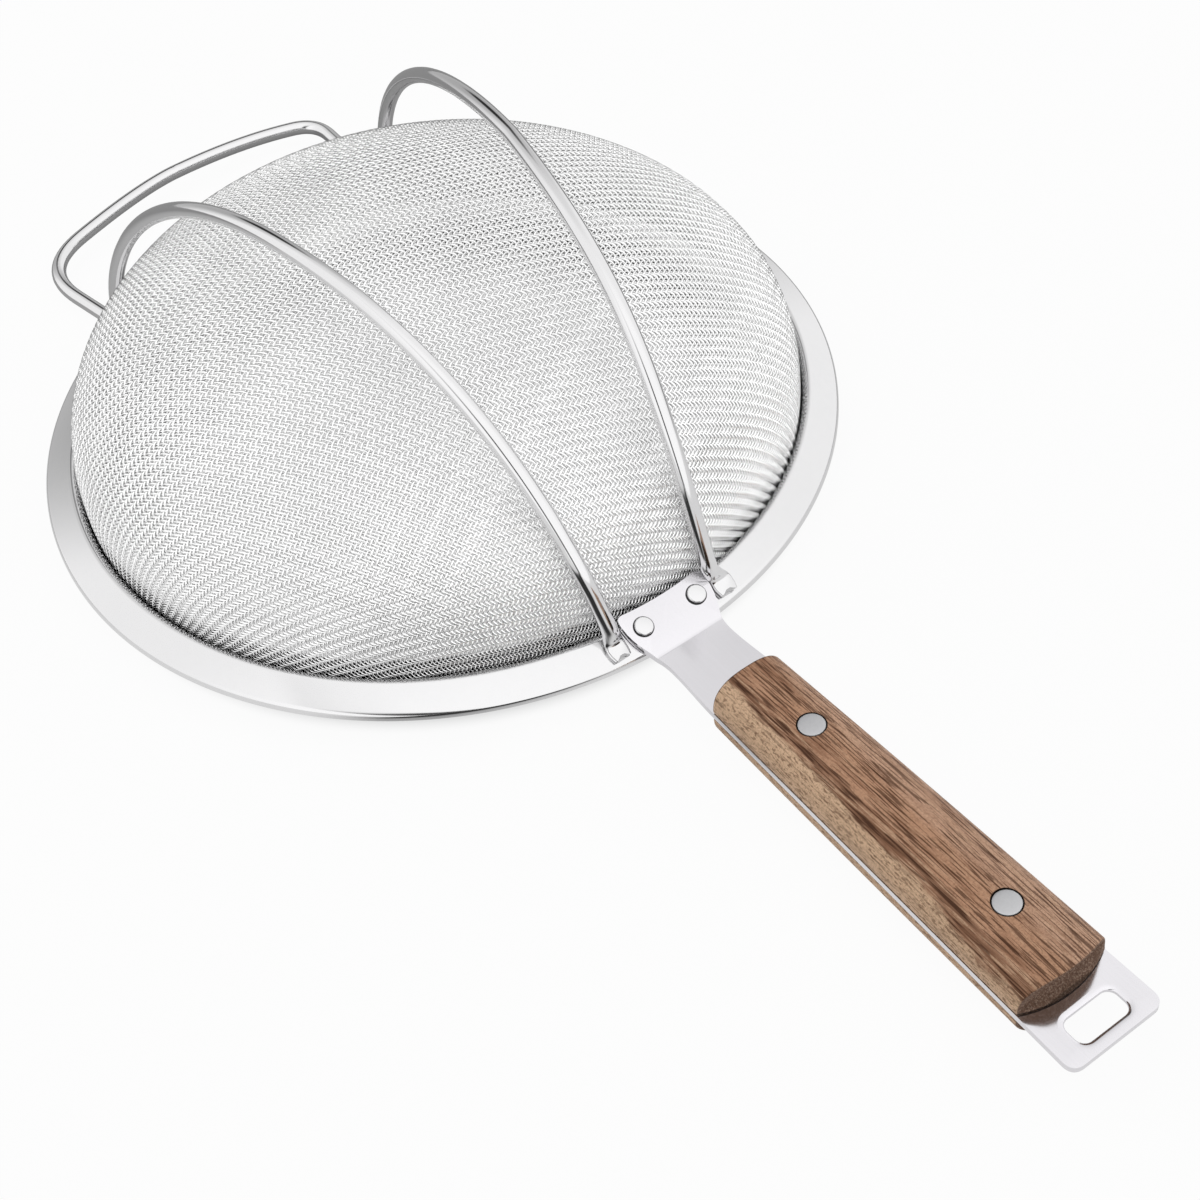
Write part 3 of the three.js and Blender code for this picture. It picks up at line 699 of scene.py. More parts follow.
def traced(work: bmesh.types.BMesh, points: Iterable[Union[Vector, Triple]], closed: bool = True) -> Loop:
    """Joins points by edges.

    Args:
        work: the mesh that they go into.
        points: the points in order.
        closed: whether the last point joins the first.

    Returns:
        The vertices and the edges.
    """
    verts = [work.verts.new(point) for point in points]
    pairs = list(zip(verts, verts[1:] + verts[:1]))
    return verts, [work.edges.new(pair) for pair in (pairs if closed else pairs[:-1])]


def drawn_out(work: bmesh.types.BMesh, loop: Loop, spots: Iterable[Vector]) -> Loop:
    """Extrudes a loop to new places.

    Args:
        work: the mesh.
        loop: the loop's vertices and edges.
        spots: where its vertices go.

    Returns:
        The new loop, in the same order.
    """
    grown = bmesh.ops.extrude_edge_only(work, edges=loop[1])["geom"]
    fresh = {g for g in grown if isinstance(g, bmesh.types.BMVert)}
    verts = [next(e.other_vert(v) for e in v.link_edges if e.other_vert(v) in fresh) for v in loop[0]]
    for vert, spot in zip(verts, spots):
        vert.co = spot
    return verts, [g for g in grown if isinstance(g, bmesh.types.BMEdge) and set(g.verts) <= fresh]


def capped(work: bmesh.types.BMesh, sides: int) -> Loop:
    """Starts a closed tube.

    Args:
        work: the mesh.
        sides: the section's corners.

    Returns:
        The loop round a face in the unit circle.
    """
    verts = list(bmesh.ops.create_circle(work, cap_ends=True, segments=sides, radius=1.0)["verts"])
    return verts, list(dict.fromkeys(edge for vert in verts for edge in vert.link_edges))


def lofted(rings: Sequence[Sequence[Vector]]) -> bmesh.types.BMesh:
    """Carries a closed section along a row of rings.

    Args:
        rings: the places of the section's corners at each step.

    Returns:
        The closed form.
    """
    work = bmesh.new()
    loop = capped(work, len(rings[0]))
    for vert, spot in zip(loop[0], rings[0]):
        vert.co = spot
    for ring in rings[1:]:
        loop = drawn_out(work, loop, ring)
    bmesh.ops.contextual_create(work, geom=loop[1])
    return work


def round_edges(work: bmesh.types.BMesh, sharper: float, radius: float) -> None:
    """Rounds the sharp edges of a closed form.

    Args:
        work: the mesh.
        sharper: the angle in degrees past which an edge is rounded.
        radius: how far the rounding reaches.
    """
    bmesh.ops.recalc_face_normals(work, faces=work.faces)
    sharp = [e for e in work.edges if len(e.link_faces) == 2 and e.calc_face_angle() > math.radians(sharper)]
    bmesh.ops.bevel(work, geom=sharp, offset=radius, offset_type="OFFSET", segments=3,
                    profile=0.5, affect="EDGES", material=-1, clamp_overlap=True)


def turned(outline: Sequence[Pair], steps: int, closed: bool) -> bmesh.types.BMesh:
    """Spins an outline of (radius, height) about the Z axis.

    Args:
        outline: the points in order.
        steps: how many steps go round.
        closed: whether the last point joins the first.

    Returns:
        The turned mesh.
    """
    work = bmesh.new()
    verts, edges = traced(work, [(radius, 0.0, height) for radius, height in outline], closed)
    bmesh.ops.spin(work, geom=verts + edges, cent=(0, 0, 0), axis=(0, 0, 1), angle=2 * math.pi,
                   steps=steps, use_merge=True)
    bmesh.ops.remove_doubles(work, verts=work.verts, dist=WELD)
    return work


def swept(matrices: Sequence[Matrix], sides: int) -> bmesh.types.BMesh:
    """Carries a round section along a row of places.

    Args:
        matrices: the place, turn and size of the section at each step.
        sides: the section's corners.

    Returns:
        The closed tube.
    """
    turns = [2 * math.pi * i / sides for i in range(sides)]
    section = [Vector((-math.sin(t), math.cos(t), 0.0)) for t in turns]
    return lofted([[matrix @ spot for spot in section] for matrix in matrices])


@dataclass
class WovenBowl:
    """The bowl of twilled wire cloth, pressed into a full dome."""

    bench: Bench
    radius: float = 103.6
    depth: float = 56.6
    fullness: float = 2.5
    dome_foot: float = 4.4
    crimp: float = 0.60
    wire_radius: float = 0.345
    rim_share: float = 0.60
    rim_band: Pair = (8.0, 13.0)
    warp_pitch: float = 1.276
    warp_angle: float = math.radians(30.8)
    weft_pitch: float = 1.117
    weft_angle: float = math.radians(120.9)
    draw: Triple = (-0.167, 0.541, -0.404)
    draw_held: float = 0.78
    lie_x: Triple = (-0.00066, 0.00021, -0.00058)
    lie_y: Triple = (-0.00061, -0.00159, 0.0001)
    float_length: int = 2
    spare: float = 1.2
    table_steps: int = 4000
    table: list[Triple] = field(default_factory=list)

    def __post_init__(self) -> None:
        """Tabulates the dome's outside from the crown to its foot as (flat radius, radius, height)."""
        points = []
        for i in range(self.table_steps + 1):
            height = 1.0 - (i / self.table_steps) ** 2
            points.append((self.radius * math.sqrt(max(0.0, 1.0 - height ** self.fullness)),
                           self.dome_foot + self.depth * height))
        points.append((self.radius, 0.0))
        run, runs = 0.0, [0.0]
        for before, after in zip(points, points[1:]):
            run += math.dist(before, after)
            runs.append(run)
        whole = runs[self.table_steps]
        held = math.sqrt(self.draw_held) * whole
        pull = sum(2 * (n + 1) * c * self.draw_held ** (n + 1) for n, c in enumerate(self.draw))
        for length, point in zip(runs, points):
            kept = min(length, held)
            drawn = 1.0 + sum(c * (kept / whole) ** (2 * n + 2) for n, c in enumerate(self.draw))
            self.table.append((kept * drawn + (length - kept) * (drawn + pull), *point))

    def on_dome(self, flat: Vector, lift: float) -> Union[Vector, None]:
        """The place on the cloth of a point of the flat sheet.

        Args:
            flat: the point on the sheet before it was pressed.
            lift: the distance out from the middle of the cloth.

        Returns:
            The point about the bowl's axis, or nothing past the cloth's edge.
        """
        bends = (flat.x ** 2, flat.x * flat.y, flat.y ** 2)
        lie = [sum(a * b for a, b in zip(share, bends)) for share in (self.lie_x, self.lie_y)]
        flat = flat + Vector(lie)
        reach = flat.length
        if reach >= self.table[-1][0]:
            return None
        low, high = 0, len(self.table) - 1
        while high - low > 1:
            middle = (low + high) // 2
            low, high = (middle, high) if self.table[middle][0] <= reach else (low, middle)
        (a, r0, z0), (b, r1, z1) = self.table[low], self.table[high]
        share = (reach - a) / (b - a)
        out = Vector((z0 - z1, r1 - r0)).normalized()
        spot = Vector((r0, z0)).lerp(Vector((r1, z1)), share) + out * (lift - self.crimp)
        way = flat / reach if reach > TINY else Vector((1.0, 0.0))
        return Vector((spot.x * way.x, spot.x * way.y, spot.y))

    def runs(self, family: Family) -> list[list[Vector]]:
        """The middle lines of a family's wires, over two and under two of the others.

        Args:
            family: which wires.

        Returns:
            One list of points for each wire.
        """
        warp = Vector((math.cos(self.warp_angle), math.sin(self.warp_angle))) / self.warp_pitch
        weft = Vector((math.cos(self.weft_angle), math.sin(self.weft_angle))) / self.weft_pitch
        cell = warp.x * weft.y - warp.y * weft.x
        by_warp = Vector((weft.y, -weft.x)) / cell
        by_weft = Vector((-warp.y, warp.x)) / cell
        count = int(self.table[-1][0] * self.spare / min(self.warp_pitch, self.weft_pitch)) + 2
        found = []
        for own in range(-count, count + 1):
            wire = []
            for other in range(-count, count + 1):
                i, j = (own, other) if family is Family.WARP else (other, own)
                above = (i - j) % (2 * self.float_length) < self.float_length
                side = 0.5 if above == (family is Family.WARP) else -0.5
                spot = self.on_dome(by_warp * i + by_weft * j, side * self.crimp)
                if spot is not None:
                    wire.append(spot)
            if len(wire) > 2:
                found.append(wire)
        return found

    def build(self, material: bpy.types.Material) -> list[bpy.types.Object]:
        """Weaves the cloth as four bands of wires.

        Args:
            material: the wires' material.

        Returns:
            The pieces.
        """
        pieces = []
        for family in Family:
            wires = self.runs(family)
            half = len(wires) // 2
            for number, band in enumerate((wires[:half], wires[half:]), 1):
                name = f"mesh_{family.value}_{number}"
                pieces.append(self.draw_wires(name, band, material))
        return pieces

    def thickness_share(self, height: float) -> float:
        """How thick a wire is drawn, as a share, where the mesh dives into the clamp.

        Args:
            height: the height above the mesh's foot.

        Returns:
            1 on the dome and less in the band at the rim.
        """
        low, high = self.rim_band
        share = min(1.0, max(0.0, (height - low) / (high - low)))
        return self.rim_share + (1.0 - self.rim_share) * share

    def draw_wires(self, name: str, band: Sequence[Sequence[Vector]],
                   material: bpy.types.Material) -> bpy.types.Object:
        """Makes round wires along a band's middle lines.

        Args:
            name: the piece's name.
            band: the middle lines.
            material: the wires' material.

        Returns:
            The piece.
        """
        line = bpy.data.curves.new(name + "_line", "CURVE")
        line.dimensions = "3D"
        line.bevel_depth = self.wire_radius * MM
        line.bevel_resolution = 0
        line.use_fill_caps = True
        matrix = self.bench.matrix()
        for wire in band:
            spline = line.splines.new("POLY")
            spline.points.add(len(wire) - 1)
            spline.points.foreach_set("co", [c for spot in wire for c in (*(matrix @ spot), 1.0)])
            spline.points.foreach_set("radius", [self.thickness_share(spot.z) for spot in wire])
            spline.use_smooth = True
        carrier = linked(name + "_line", line)
        mesh = shown_mesh(carrier, name)
        bpy.data.objects.remove(carrier)
        bpy.data.curves.remove(line)
        return self.bench.hand_over(mesh, name, material, Slot.WOVEN, ["mesh_bowl"])


@dataclass
class Rim:
    """The formed rim round the mesh and the ring that clamps the mesh in it."""

    bench: Bench
    sheet: float = 1.0
    wall_inside: float = 103.85
    radius: float = 114.05
    slope: float = math.radians(25.0)
    bead_radius: float = 1.5
    bead_z: float = 2.9
    edge_radius: float = 1.2
    foot_z: float = -0.7
    clamp_sheet: float = 0.8
    clamp_middle: float = 102.15
    clamp_top: float = 8.3
    clamp_lip: float = 3.6
    clamp_edge: float = 1.2
    seat: float = 0.2
    clamp_shade_blur: float = 0.2
    bead_steps: int = 14
    edge_steps: int = 8
    lip_steps: int = 6
    steps: int = 288

    @property
    def slope_start(self) -> Pair:
        """Where the bead runs out into the flange, at mid-sheet."""
        turn = math.pi / 2 - self.slope
        centre = self.wall_inside + self.sheet / 2 + self.bead_radius
        return (centre + self.bead_radius * math.cos(turn), self.bead_z + self.bead_radius * math.sin(turn))

    def flange_top(self, radius: float) -> float:
        """The height of the flange's upper face.

        Args:
            radius: the distance from the bowl's axis.

        Returns:
            The height.
        """
        start = self.slope_start
        middle = start[1] - (radius - start[0]) * math.tan(self.slope)
        return middle + self.sheet / 2 / math.cos(self.slope)

    def build_flange(self, material: bpy.types.Material) -> bpy.types.Object:
        """Turns the rim.

        Args:
            material: the rim's material.

        Returns:
            The piece.
        """
        wall = self.wall_inside + self.sheet / 2
        lean = math.pi / 2 - self.slope
        edge = self.radius - self.sheet / 2
        centre = edge - self.edge_radius
        tangent = centre + self.edge_radius * math.sin(self.slope)
        start = self.slope_start
        height = start[1] - (tangent - start[0]) * math.tan(self.slope)
        edge_centre = (centre, height - self.edge_radius * math.cos(self.slope))
        middle = [(wall, self.foot_z)]
        bead_centre = (wall + self.bead_radius, self.bead_z)
        middle += bend(bead_centre, self.bead_radius, math.pi, lean, self.bead_steps)
        middle += bend(edge_centre, self.edge_radius, lean, 0.0, self.edge_steps)
        middle.append((edge, self.foot_z))
        work = turned(sheet_outline(middle, self.sheet), self.steps, True)
        return self.bench.set_down(work, "rim", material, Slot.POLISHED, ["rim_flange"])

    def clamp_painted_shade(self, graph: Graph) -> Term:
        """The mask of the painted shade on the clamp ring's outside and top edge, which lie against the
        mesh.

        Args:
            graph: the material that it is for.

        Returns:
            1 against the mesh and 0 on the ring's inside.
        """
        spot = graph.place(move=(-self.bench.axis_x, 0.0, -self.bench.foot_z))
        level = graph.add("ShaderNodeVectorMath", {"operation": "MULTIPLY"}, {0: spot, 1: (1.0, 1.0, 0.0)})
        side, blur = self.clamp_middle * MM, self.clamp_shade_blur * MM
        top = (self.clamp_top - self.clamp_edge) * MM
        outside = graph.length(level).step(side - blur, side)
        return outside.largest(graph.part(spot, "Z").step(top, top + blur))

    def build_clamp(self, material: bpy.types.Material) -> bpy.types.Object:
        """Turns the clamp ring.

        Args:
            material: the ring's material.

        Returns:
            The piece.
        """
        lip = self.foot_z - self.seat - self.clamp_sheet / 2
        turn = (self.clamp_middle + self.clamp_sheet, lip + self.clamp_sheet)
        middle = [(self.clamp_middle, self.clamp_top)]
        middle += bend(turn, self.clamp_sheet, math.pi, 1.5 * math.pi, self.lip_steps)
        middle.append((self.clamp_middle + self.clamp_lip, lip))
        work = turned(sheet_outline(middle, self.clamp_sheet), self.steps, True)
        return self.bench.set_down(work, "clamp", material, Slot.SATIN, ["clamp_ring"])


@dataclass(frozen=True)
class WireSide:
    """How one side of the hand-bent rod runs."""

    side: float
    crown_x: float
    crown_y: float
    foot_y: float
    leg_lean: float
    leg_share: float
    leg_sway: float
    crown_front: float
    back_lean: float
    back_y: float
    back_share: float
    crown_back: float
    corner_reach: float
    corner_y: float
    corner_trim: float
    bar_share: float
    foot_width: float
    foot_shift: float


LEFT_SIDE = WireSide(
    side=-1.0, crown_x=1.75, crown_y=34.8, foot_y=16.9, leg_lean=math.radians(71.7), leg_share=0.68,
    leg_sway=1.8, crown_front=0.48, back_lean=math.radians(81.1), back_y=50.7, back_share=0.335,
    crown_back=0.61, corner_reach=32.5, corner_y=59.6, corner_trim=19.8, bar_share=0.23,
    foot_width=5.8, foot_shift=0.4)
RIGHT_SIDE = WireSide(
    side=1.0, crown_x=1.5, crown_y=35.5, foot_y=14.9, leg_lean=math.radians(72.9), leg_share=0.75,
    leg_sway=-4.1, crown_front=0.68, back_lean=math.radians(83.6), back_y=49.2, back_share=0.515,
    crown_back=0.61, corner_reach=39.4, corner_y=49.6, corner_trim=8.4, bar_share=0.485,
    foot_width=6.2, foot_shift=2.1)


@dataclass
class GuardWire:
    """One rod from foot to foot: over the dome, past the back of the rim and round the pot rest."""

    bench: Bench
    rim: Rim
    bowl: WovenBowl
    diameter: float = 4.56
    foot_inset: float = 5.8
    tip_reach: float = 3.6
    foot_thickness: float = 1.7
    foot_turn: float = 2.52
    flat_reach: float = 3.24
    flat_fade: float = 5.76
    tip_taper: float = 0.86
    notch_depth: float = 0.9
    notch_half: float = 0.6
    notch_slack: float = 0.01
    section_slack: float = 1.1
    stand_off: float = 17.7
    rest_drop: float = 5.9
    rest_rise: float = math.radians(2.86)
    rest_reach: float = 48.35
    back_turn: float = 7.98
    mesh_gap: float = 0.25
    seat: float = 0.2
    foot_steps: int = 10
    front_steps: int = 64
    fall_steps: int = 60
    back_steps: int = 14
    corner_steps: int = 18
    bar_steps: int = 26
    sides: int = 24
    crease: float = 50.0

    def clear_of_mesh(self, point: Vector) -> Vector:
        """Moves a point outwards where the wire would press into the mesh.

        Args:
            point: a point of the wire's middle line.

        Returns:
            The point, clear of the mesh.
        """
        reach = self.diameter / 2 + self.mesh_gap
        share = min(1.0, max(0.0, (point.z - self.bowl.dome_foot) / (self.bowl.depth + reach)))
        least = (self.bowl.radius + reach) * math.sqrt(1.0 - share ** self.bowl.fullness)
        here = math.hypot(point.x, point.y)
        push = least / here if here < least and share < 1.0 else 1.0
        return Vector((point.x * push, point.y * push, point.z))

    def on_flange(self, x: float, y: float) -> Vector:
        """A point of the flattened foot's middle line on the flange.

        Args:
            x: along the handle.
            y: across it.

        Returns:
            The point.
        """
        lift = (self.seat + self.foot_thickness / 2) / math.cos(self.rim.slope)
        return Vector((x, y, self.rim.flange_top(math.hypot(x, y)) + lift))

    def half_route(self, run: WireSide) -> list[Vector]:
        """The middle line from the tip of a foot to the middle of the pot rest's far bar.

        Args:
            run: which side, drawn as if it lay on the right.

        Returns:
            The points in order.
        """
        edge = self.rim.radius
        foot_x = edge - self.foot_inset
        tip = self.on_flange(foot_x + self.tip_reach, run.foot_y)
        foot = self.on_flange(foot_x, run.foot_y)
        crown = Vector((run.crown_x, run.crown_y, self.bowl.dome_foot + self.bowl.depth + self.stand_off))
        back_radius = edge + self.diameter / 2 + self.seat
        back_x = math.sqrt(back_radius ** 2 - run.back_y ** 2) + self.rest_drop / math.tan(run.back_lean)
        back = Vector((-back_x, run.back_y, -self.rest_drop))

        def rest_z(reach: float) -> float:
            """The pot rest's height at a reach beyond the rim."""
            return back.z + (edge + reach + back.x) * math.tan(self.rest_rise)

        corner = Vector((-edge - run.corner_reach, run.corner_y, rest_z(run.corner_reach)))
        end = Vector((-edge - self.rest_reach, 0.0, rest_z(self.rest_reach)))
        bar = Vector((end.x, run.corner_y * run.bar_share, end.z))
        leg_run = run.leg_share * (crown.z - foot.z)
        leg_top = foot.lerp(crown, leg_run / math.tan(run.leg_lean) / foot.x)
        leg_top.y += run.leg_sway
        leg_top.z = foot.z + leg_run
        crown_front = crown.lerp(foot, run.crown_front)
        crown_front.z = crown.z
        back_run = run.back_share * (crown.z - back.z)
        back_top = back.lerp(crown, back_run / math.tan(run.back_lean) / back_x)
        back_top.z = back.z + back_run
        crown_back = crown.lerp(back, run.crown_back)
        crown_back.z = crown.z

        def towards(start: Vector, goal: Vector, distance: float) -> Vector:
            """A point at a distance from one corner towards the next."""
            return start + (goal - start).normalized() * distance

        def quadratic(start: Vector, pull: Vector, goal: Vector, steps: int) -> list[Vector]:
            """A bend between two points that one pull shapes."""
            first, second = start.lerp(pull, 2 / 3), goal.lerp(pull, 2 / 3)
            return interpolate_bezier(start, first, second, goal, steps)

        into_foot = towards(foot, tip, self.foot_turn)
        up_foot = towards(foot, leg_top, self.foot_turn)
        down_back = towards(back, back_top, self.back_turn)
        out_back = towards(back, corner, self.back_turn)
        into_corner = towards(corner, back, run.corner_trim)
        out_corner = towards(corner, bar, run.corner_trim)
        route: list[Vector] = [tip, tip.lerp(into_foot, 0.5)]
        route += quadratic(into_foot, foot, up_foot, self.foot_steps)
        route += interpolate_bezier(up_foot, leg_top, crown_front, crown, self.front_steps)
        route += interpolate_bezier(crown, crown_back, back_top, down_back, self.fall_steps)
        route += quadratic(down_back, back, out_back, self.back_steps)
        route += quadratic(into_corner, corner, out_corner, self.corner_steps)
        route += quadratic(out_corner, bar, end, self.bar_steps)
        points: list[Vector] = []
        for point in map(self.clear_of_mesh, route):
            if not points or (point - points[-1]).length > self.seat:
                points.append(point)
        return points

    def half_places(self, run: WireSide) -> list[Matrix]:
        """The place, turn and size of the rod's section along one side.

        Args:
            run: which side.

        Returns:
            One matrix for each point of the route, on its own side.
        """
        points = self.half_route(run)
        across, travelled, places = Vector((0.0, 1.0, 0.0)), 0.0, []
        for p, point in enumerate(points):
            before = points[max(p - 1, 0)]
            after = points[p + 1] if p + 1 < len(points) else Vector((point.x, -points[p - 1].y, point.z))
            along = (after - before).normalized()
            travelled += (point - before).length
            across = (across - along * across.dot(along)).normalized()
            up = along.cross(across)
            share = min(1.0, max(0.0, travelled - self.flat_reach) / self.flat_fade)
            round_share = share * share * (3.0 - 2.0 * share)
            taper = self.tip_taper + (1.0 - self.tip_taper) * min(travelled / self.foot_thickness, 1.0)
            wide = (run.foot_width + (self.diameter - run.foot_width) * round_share) / 2 * taper
            thick = (self.foot_thickness + (self.diameter - self.foot_thickness) * round_share) / 2
            spot = point + across * (run.foot_shift * (1.0 - round_share))
            places.append(from_axes(across * wide, up * thick, along, spot))
        if run.side < 0.0:
            other_side = Matrix.Scale(-1.0, 4, (0.0, 1.0, 0.0))
            places = [other_side @ m for m in places]
        return places

    def build(self, material: bpy.types.Material) -> bpy.types.Object:
        """Bends the rod.

        Args:
            material: the rod's material.

        Returns:
            The piece.
        """
        right, left = self.half_places(RIGHT_SIDE), self.half_places(LEFT_SIDE)
        work = swept(right + left[-2::-1], self.sides)
        for tip in (right[0], left[0]):
            self.notch_foot(work, tip)
        return self.bench.set_down(work, "guard", material, Slot.POLISHED, ["guard_wire"], self.crease)

    def notch_foot(self, work: bmesh.types.BMesh, tip: Matrix) -> None:
        """Splits the crushed end of a foot into two lobes.

        Args:
            work: the rod's mesh.
            tip: the place of the section at the tip.
        """
        back = tip.inverted()
        along = Vector((tip[0][2], tip[1][2], tip[2][2]))
        for vert in work.verts:
            local = back @ vert.co
            if abs(local.z) < self.notch_slack and local.x ** 2 + local.y ** 2 < self.section_slack:
                vert.co += along * self.notch_depth * max(0.0, 1.0 - (local.x / self.notch_half) ** 2)


@dataclass
class Strap:
    """The formed steel strip: bracket on the flange, bend, neck, tang and tab with its hanging slot."""

    bench: Bench
    rim: Rim
    thickness: float = 1.8
    seat: float = 0.2
    bend_reach: float = 2.155
    bend_radius: float = 3.0
    hollow: float = 104.7
    bracket_width: float = 27.0
    bracket_corner: float = 2.2
    neck_reach: float = 8.0
    neck_width: float = 19.8
    grip_reach: float = 26.0
    front_width: float = 21.8
    tail_x: float = 266.14
    tail_width: float = 27.5
    tail_corner: float = 3.4
    slot_inset: float = 6.9
    slot_length: float = 15.0
    slot_width: float = 7.3
    slot_corner: float = 2.5
    coin_width: float = 1.5
    coin_depth: float = 0.6
    slot_slack: float = 0.02
    wall_tilt: float = 0.1
    edge_angle: float = 60.0
    edge_round: float = 0.28
    crease: float = 32.0
    hollow_steps: int = 10
    corner_steps: int = 8
    waist_steps: int = 18
    taper_steps: int = 14
    tang_steps: int = 24
    tail_steps: int = 10
    end_steps: int = 6
    bend_steps: int = 10
    slot_steps: int = 8
    coin_steps: int = 6

    @property
    def front_x(self) -> float:
        """Where the wooden scales start."""
        return self.rim.radius + self.grip_reach

    @property
    def bend_centre(self) -> Pair:
        """The centre of the bend past the rim, in side view."""
        slope = self.rim.slope
        x = self.rim.radius + self.bend_reach
        lift = (self.seat + self.thickness / 2) / math.cos(slope)
        z = self.rim.flange_top(x) + lift
        return (x + self.bend_radius * math.sin(slope), z + self.bend_radius * math.cos(slope))

    @property
    def top_z(self) -> float:
        """The height of the tang's upper face."""
        return self.bend_centre[1] - self.bend_radius + self.thickness / 2

    def half_width(self, x: float) -> float:
        """Half the tang's width.

        Args:
            x: the place along the handle.

        Returns:
            The half width there.
        """
        share = (x - self.front_x) / (self.tail_x - self.front_x)
        return (self.front_width + (self.tail_width - self.front_width) * share) / 2

    def face_z(self, x: float, upper: bool) -> float:
        """The height of one of the strap's faces.

        Args:
            x: the place along the handle.
            upper: whether the upper face is wanted.

        Returns:
            The height.
        """
        side = -1.0 if upper else 1.0
        cx, cz = self.bend_centre
        radius = self.bend_radius + side * self.thickness / 2
        start = cx - radius * math.sin(self.rim.slope)
        if x >= cx:
            return cz - radius
        if x >= start:
            return cz - math.sqrt(radius ** 2 - (x - cx) ** 2)
        return cz - radius * math.cos(self.rim.slope) + (start - x) * math.tan(self.rim.slope)

    def side_line(self) -> list[Vector]:
        """One side of the strap in plan, from the bracket's hollow to the middle of the tab's end.

        Returns:
            The points in order.
        """
        half = self.bracket_width / 2
        corner_x = math.sqrt(self.hollow ** 2 - half ** 2)
        turn = math.asin((half - self.bracket_corner) / self.hollow)
        side_x = corner_x + self.bracket_corner
        neck_x, waist = self.rim.radius + self.neck_reach, self.neck_width / 2
        waist_pull, taper_pull = (neck_x - side_x) / 2, (self.front_x - neck_x) / 3
        tail = self.half_width(self.tail_x - self.tail_corner)

        def flat(x: float, y: float) -> Vector:
            """A point of the plan."""
            return Vector((x, y, 0.0))

        def curve(a: Vector, b: Vector, c: Vector, d: Vector, steps: int) -> list[Vector]:
            """A cubic bend without its first point."""
            return interpolate_bezier(a, b, c, d, steps)[1:]

        def corner(a: Vector, b: Vector, c: Vector, steps: int) -> list[Vector]:
            """A rounded corner without its first point."""
            return curve(a, a.lerp(b, 2 / 3), c.lerp(b, 2 / 3), c, steps)

        line = [flat(x, y) for x, y in bend((0.0, 0.0), self.hollow, 0.0, turn, self.hollow_steps)]
        line += corner(line[-1], flat(corner_x, half), flat(side_x, half), self.corner_steps)
        waist_at = flat(neck_x, waist)
        pulled = flat(side_x + waist_pull, half), flat(neck_x - waist_pull, waist)
        line += curve(line[-1], *pulled, waist_at, self.waist_steps)
        front = flat(self.front_x, self.half_width(self.front_x))
        taper_x = self.front_x - taper_pull
        pulled = flat(neck_x + taper_pull, waist), flat(taper_x, self.half_width(taper_x))
        line += curve(waist_at, *pulled, front, self.taper_steps)
        turn_in = flat(self.tail_x - self.tail_corner, tail)
        line += [front.lerp(turn_in, i / self.tang_steps) for i in range(1, self.tang_steps + 1)]
        turn_out = flat(self.tail_x, tail - self.tail_corner)
        line += corner(turn_in, flat(self.tail_x, tail), turn_out, self.tail_steps)
        middle = flat(self.tail_x, 0.0)
        line += [turn_out.lerp(middle, i / self.end_steps) for i in range(1, self.end_steps + 1)]
        return line

    def slot_ring(self, margin: float, height: float) -> list[Vector]:
        """Points round the hanging slot.

        Args:
            margin: how far outside the slot's wall they lie.
            height: their height.

        Returns:
            The points in order.
        """
        along_x = self.slot_width / 2 - self.slot_corner
        along_y = self.slot_length / 2 - self.slot_corner
        middle = self.tail_x - self.slot_inset
        ring = []
        for quarter, (x, y) in enumerate(((1, 1), (-1, 1), (-1, -1), (1, -1))):
            start = quarter * math.pi / 2
            centre = (middle + x * along_x, y * along_y)
            points = bend(centre, self.slot_corner + margin, start, start + math.pi / 2, self.slot_steps)
            ring += [Vector((px, py, height)) for px, py in points]
        return ring

    def build(self, material: bpy.types.Material) -> bpy.types.Object:
        """Forms the strap.

        Args:
            material: the strap's material.

        Returns:
            The piece.
        """
        work = bmesh.new()
        side = self.side_line()
        outline = side + [Vector((p.x, -p.y, 0.0)) for p in side[-2:0:-1]]
        loops = [traced(work, points)[1] for points in (outline, self.slot_ring(self.coin_width, 0.0))]
        bmesh.ops.triangle_fill(work, use_beauty=True, edges=loops[0] + loops[1], normal=(0, 0, 1))
        cx = self.bend_centre[0]
        reach = (self.bend_radius + self.thickness / 2) * math.sin(self.rim.slope)
        for i in range(self.bend_steps + 1):
            cut_at = (cx - reach * i / self.bend_steps, 0.0, 0.0)
            geom = [*work.verts, *work.edges, *work.faces]
            bmesh.ops.bisect_plane(work, geom=geom, dist=WELD, plane_co=cut_at, plane_no=(1, 0, 0))
        upper = list(work.verts)
        grown = bmesh.ops.extrude_face_region(work, geom=list(work.faces), use_keep_orig=True)["geom"]
        lower = [g for g in grown if isinstance(g, bmesh.types.BMVert)]
        for verts, top in ((upper, True), (lower, False)):
            for vert in verts:
                vert.co.z = self.face_z(vert.co.x, top)
        bmesh.ops.recalc_face_normals(work, faces=work.faces)
        self.coin_slot(work)
        bmesh.ops.remove_doubles(work, verts=work.verts, dist=WELD)
        round_edges(work, self.edge_angle, self.edge_round)
        return self.bench.set_down(work, "strap", material, Slot.SATIN, ["handle_strap"], self.crease)

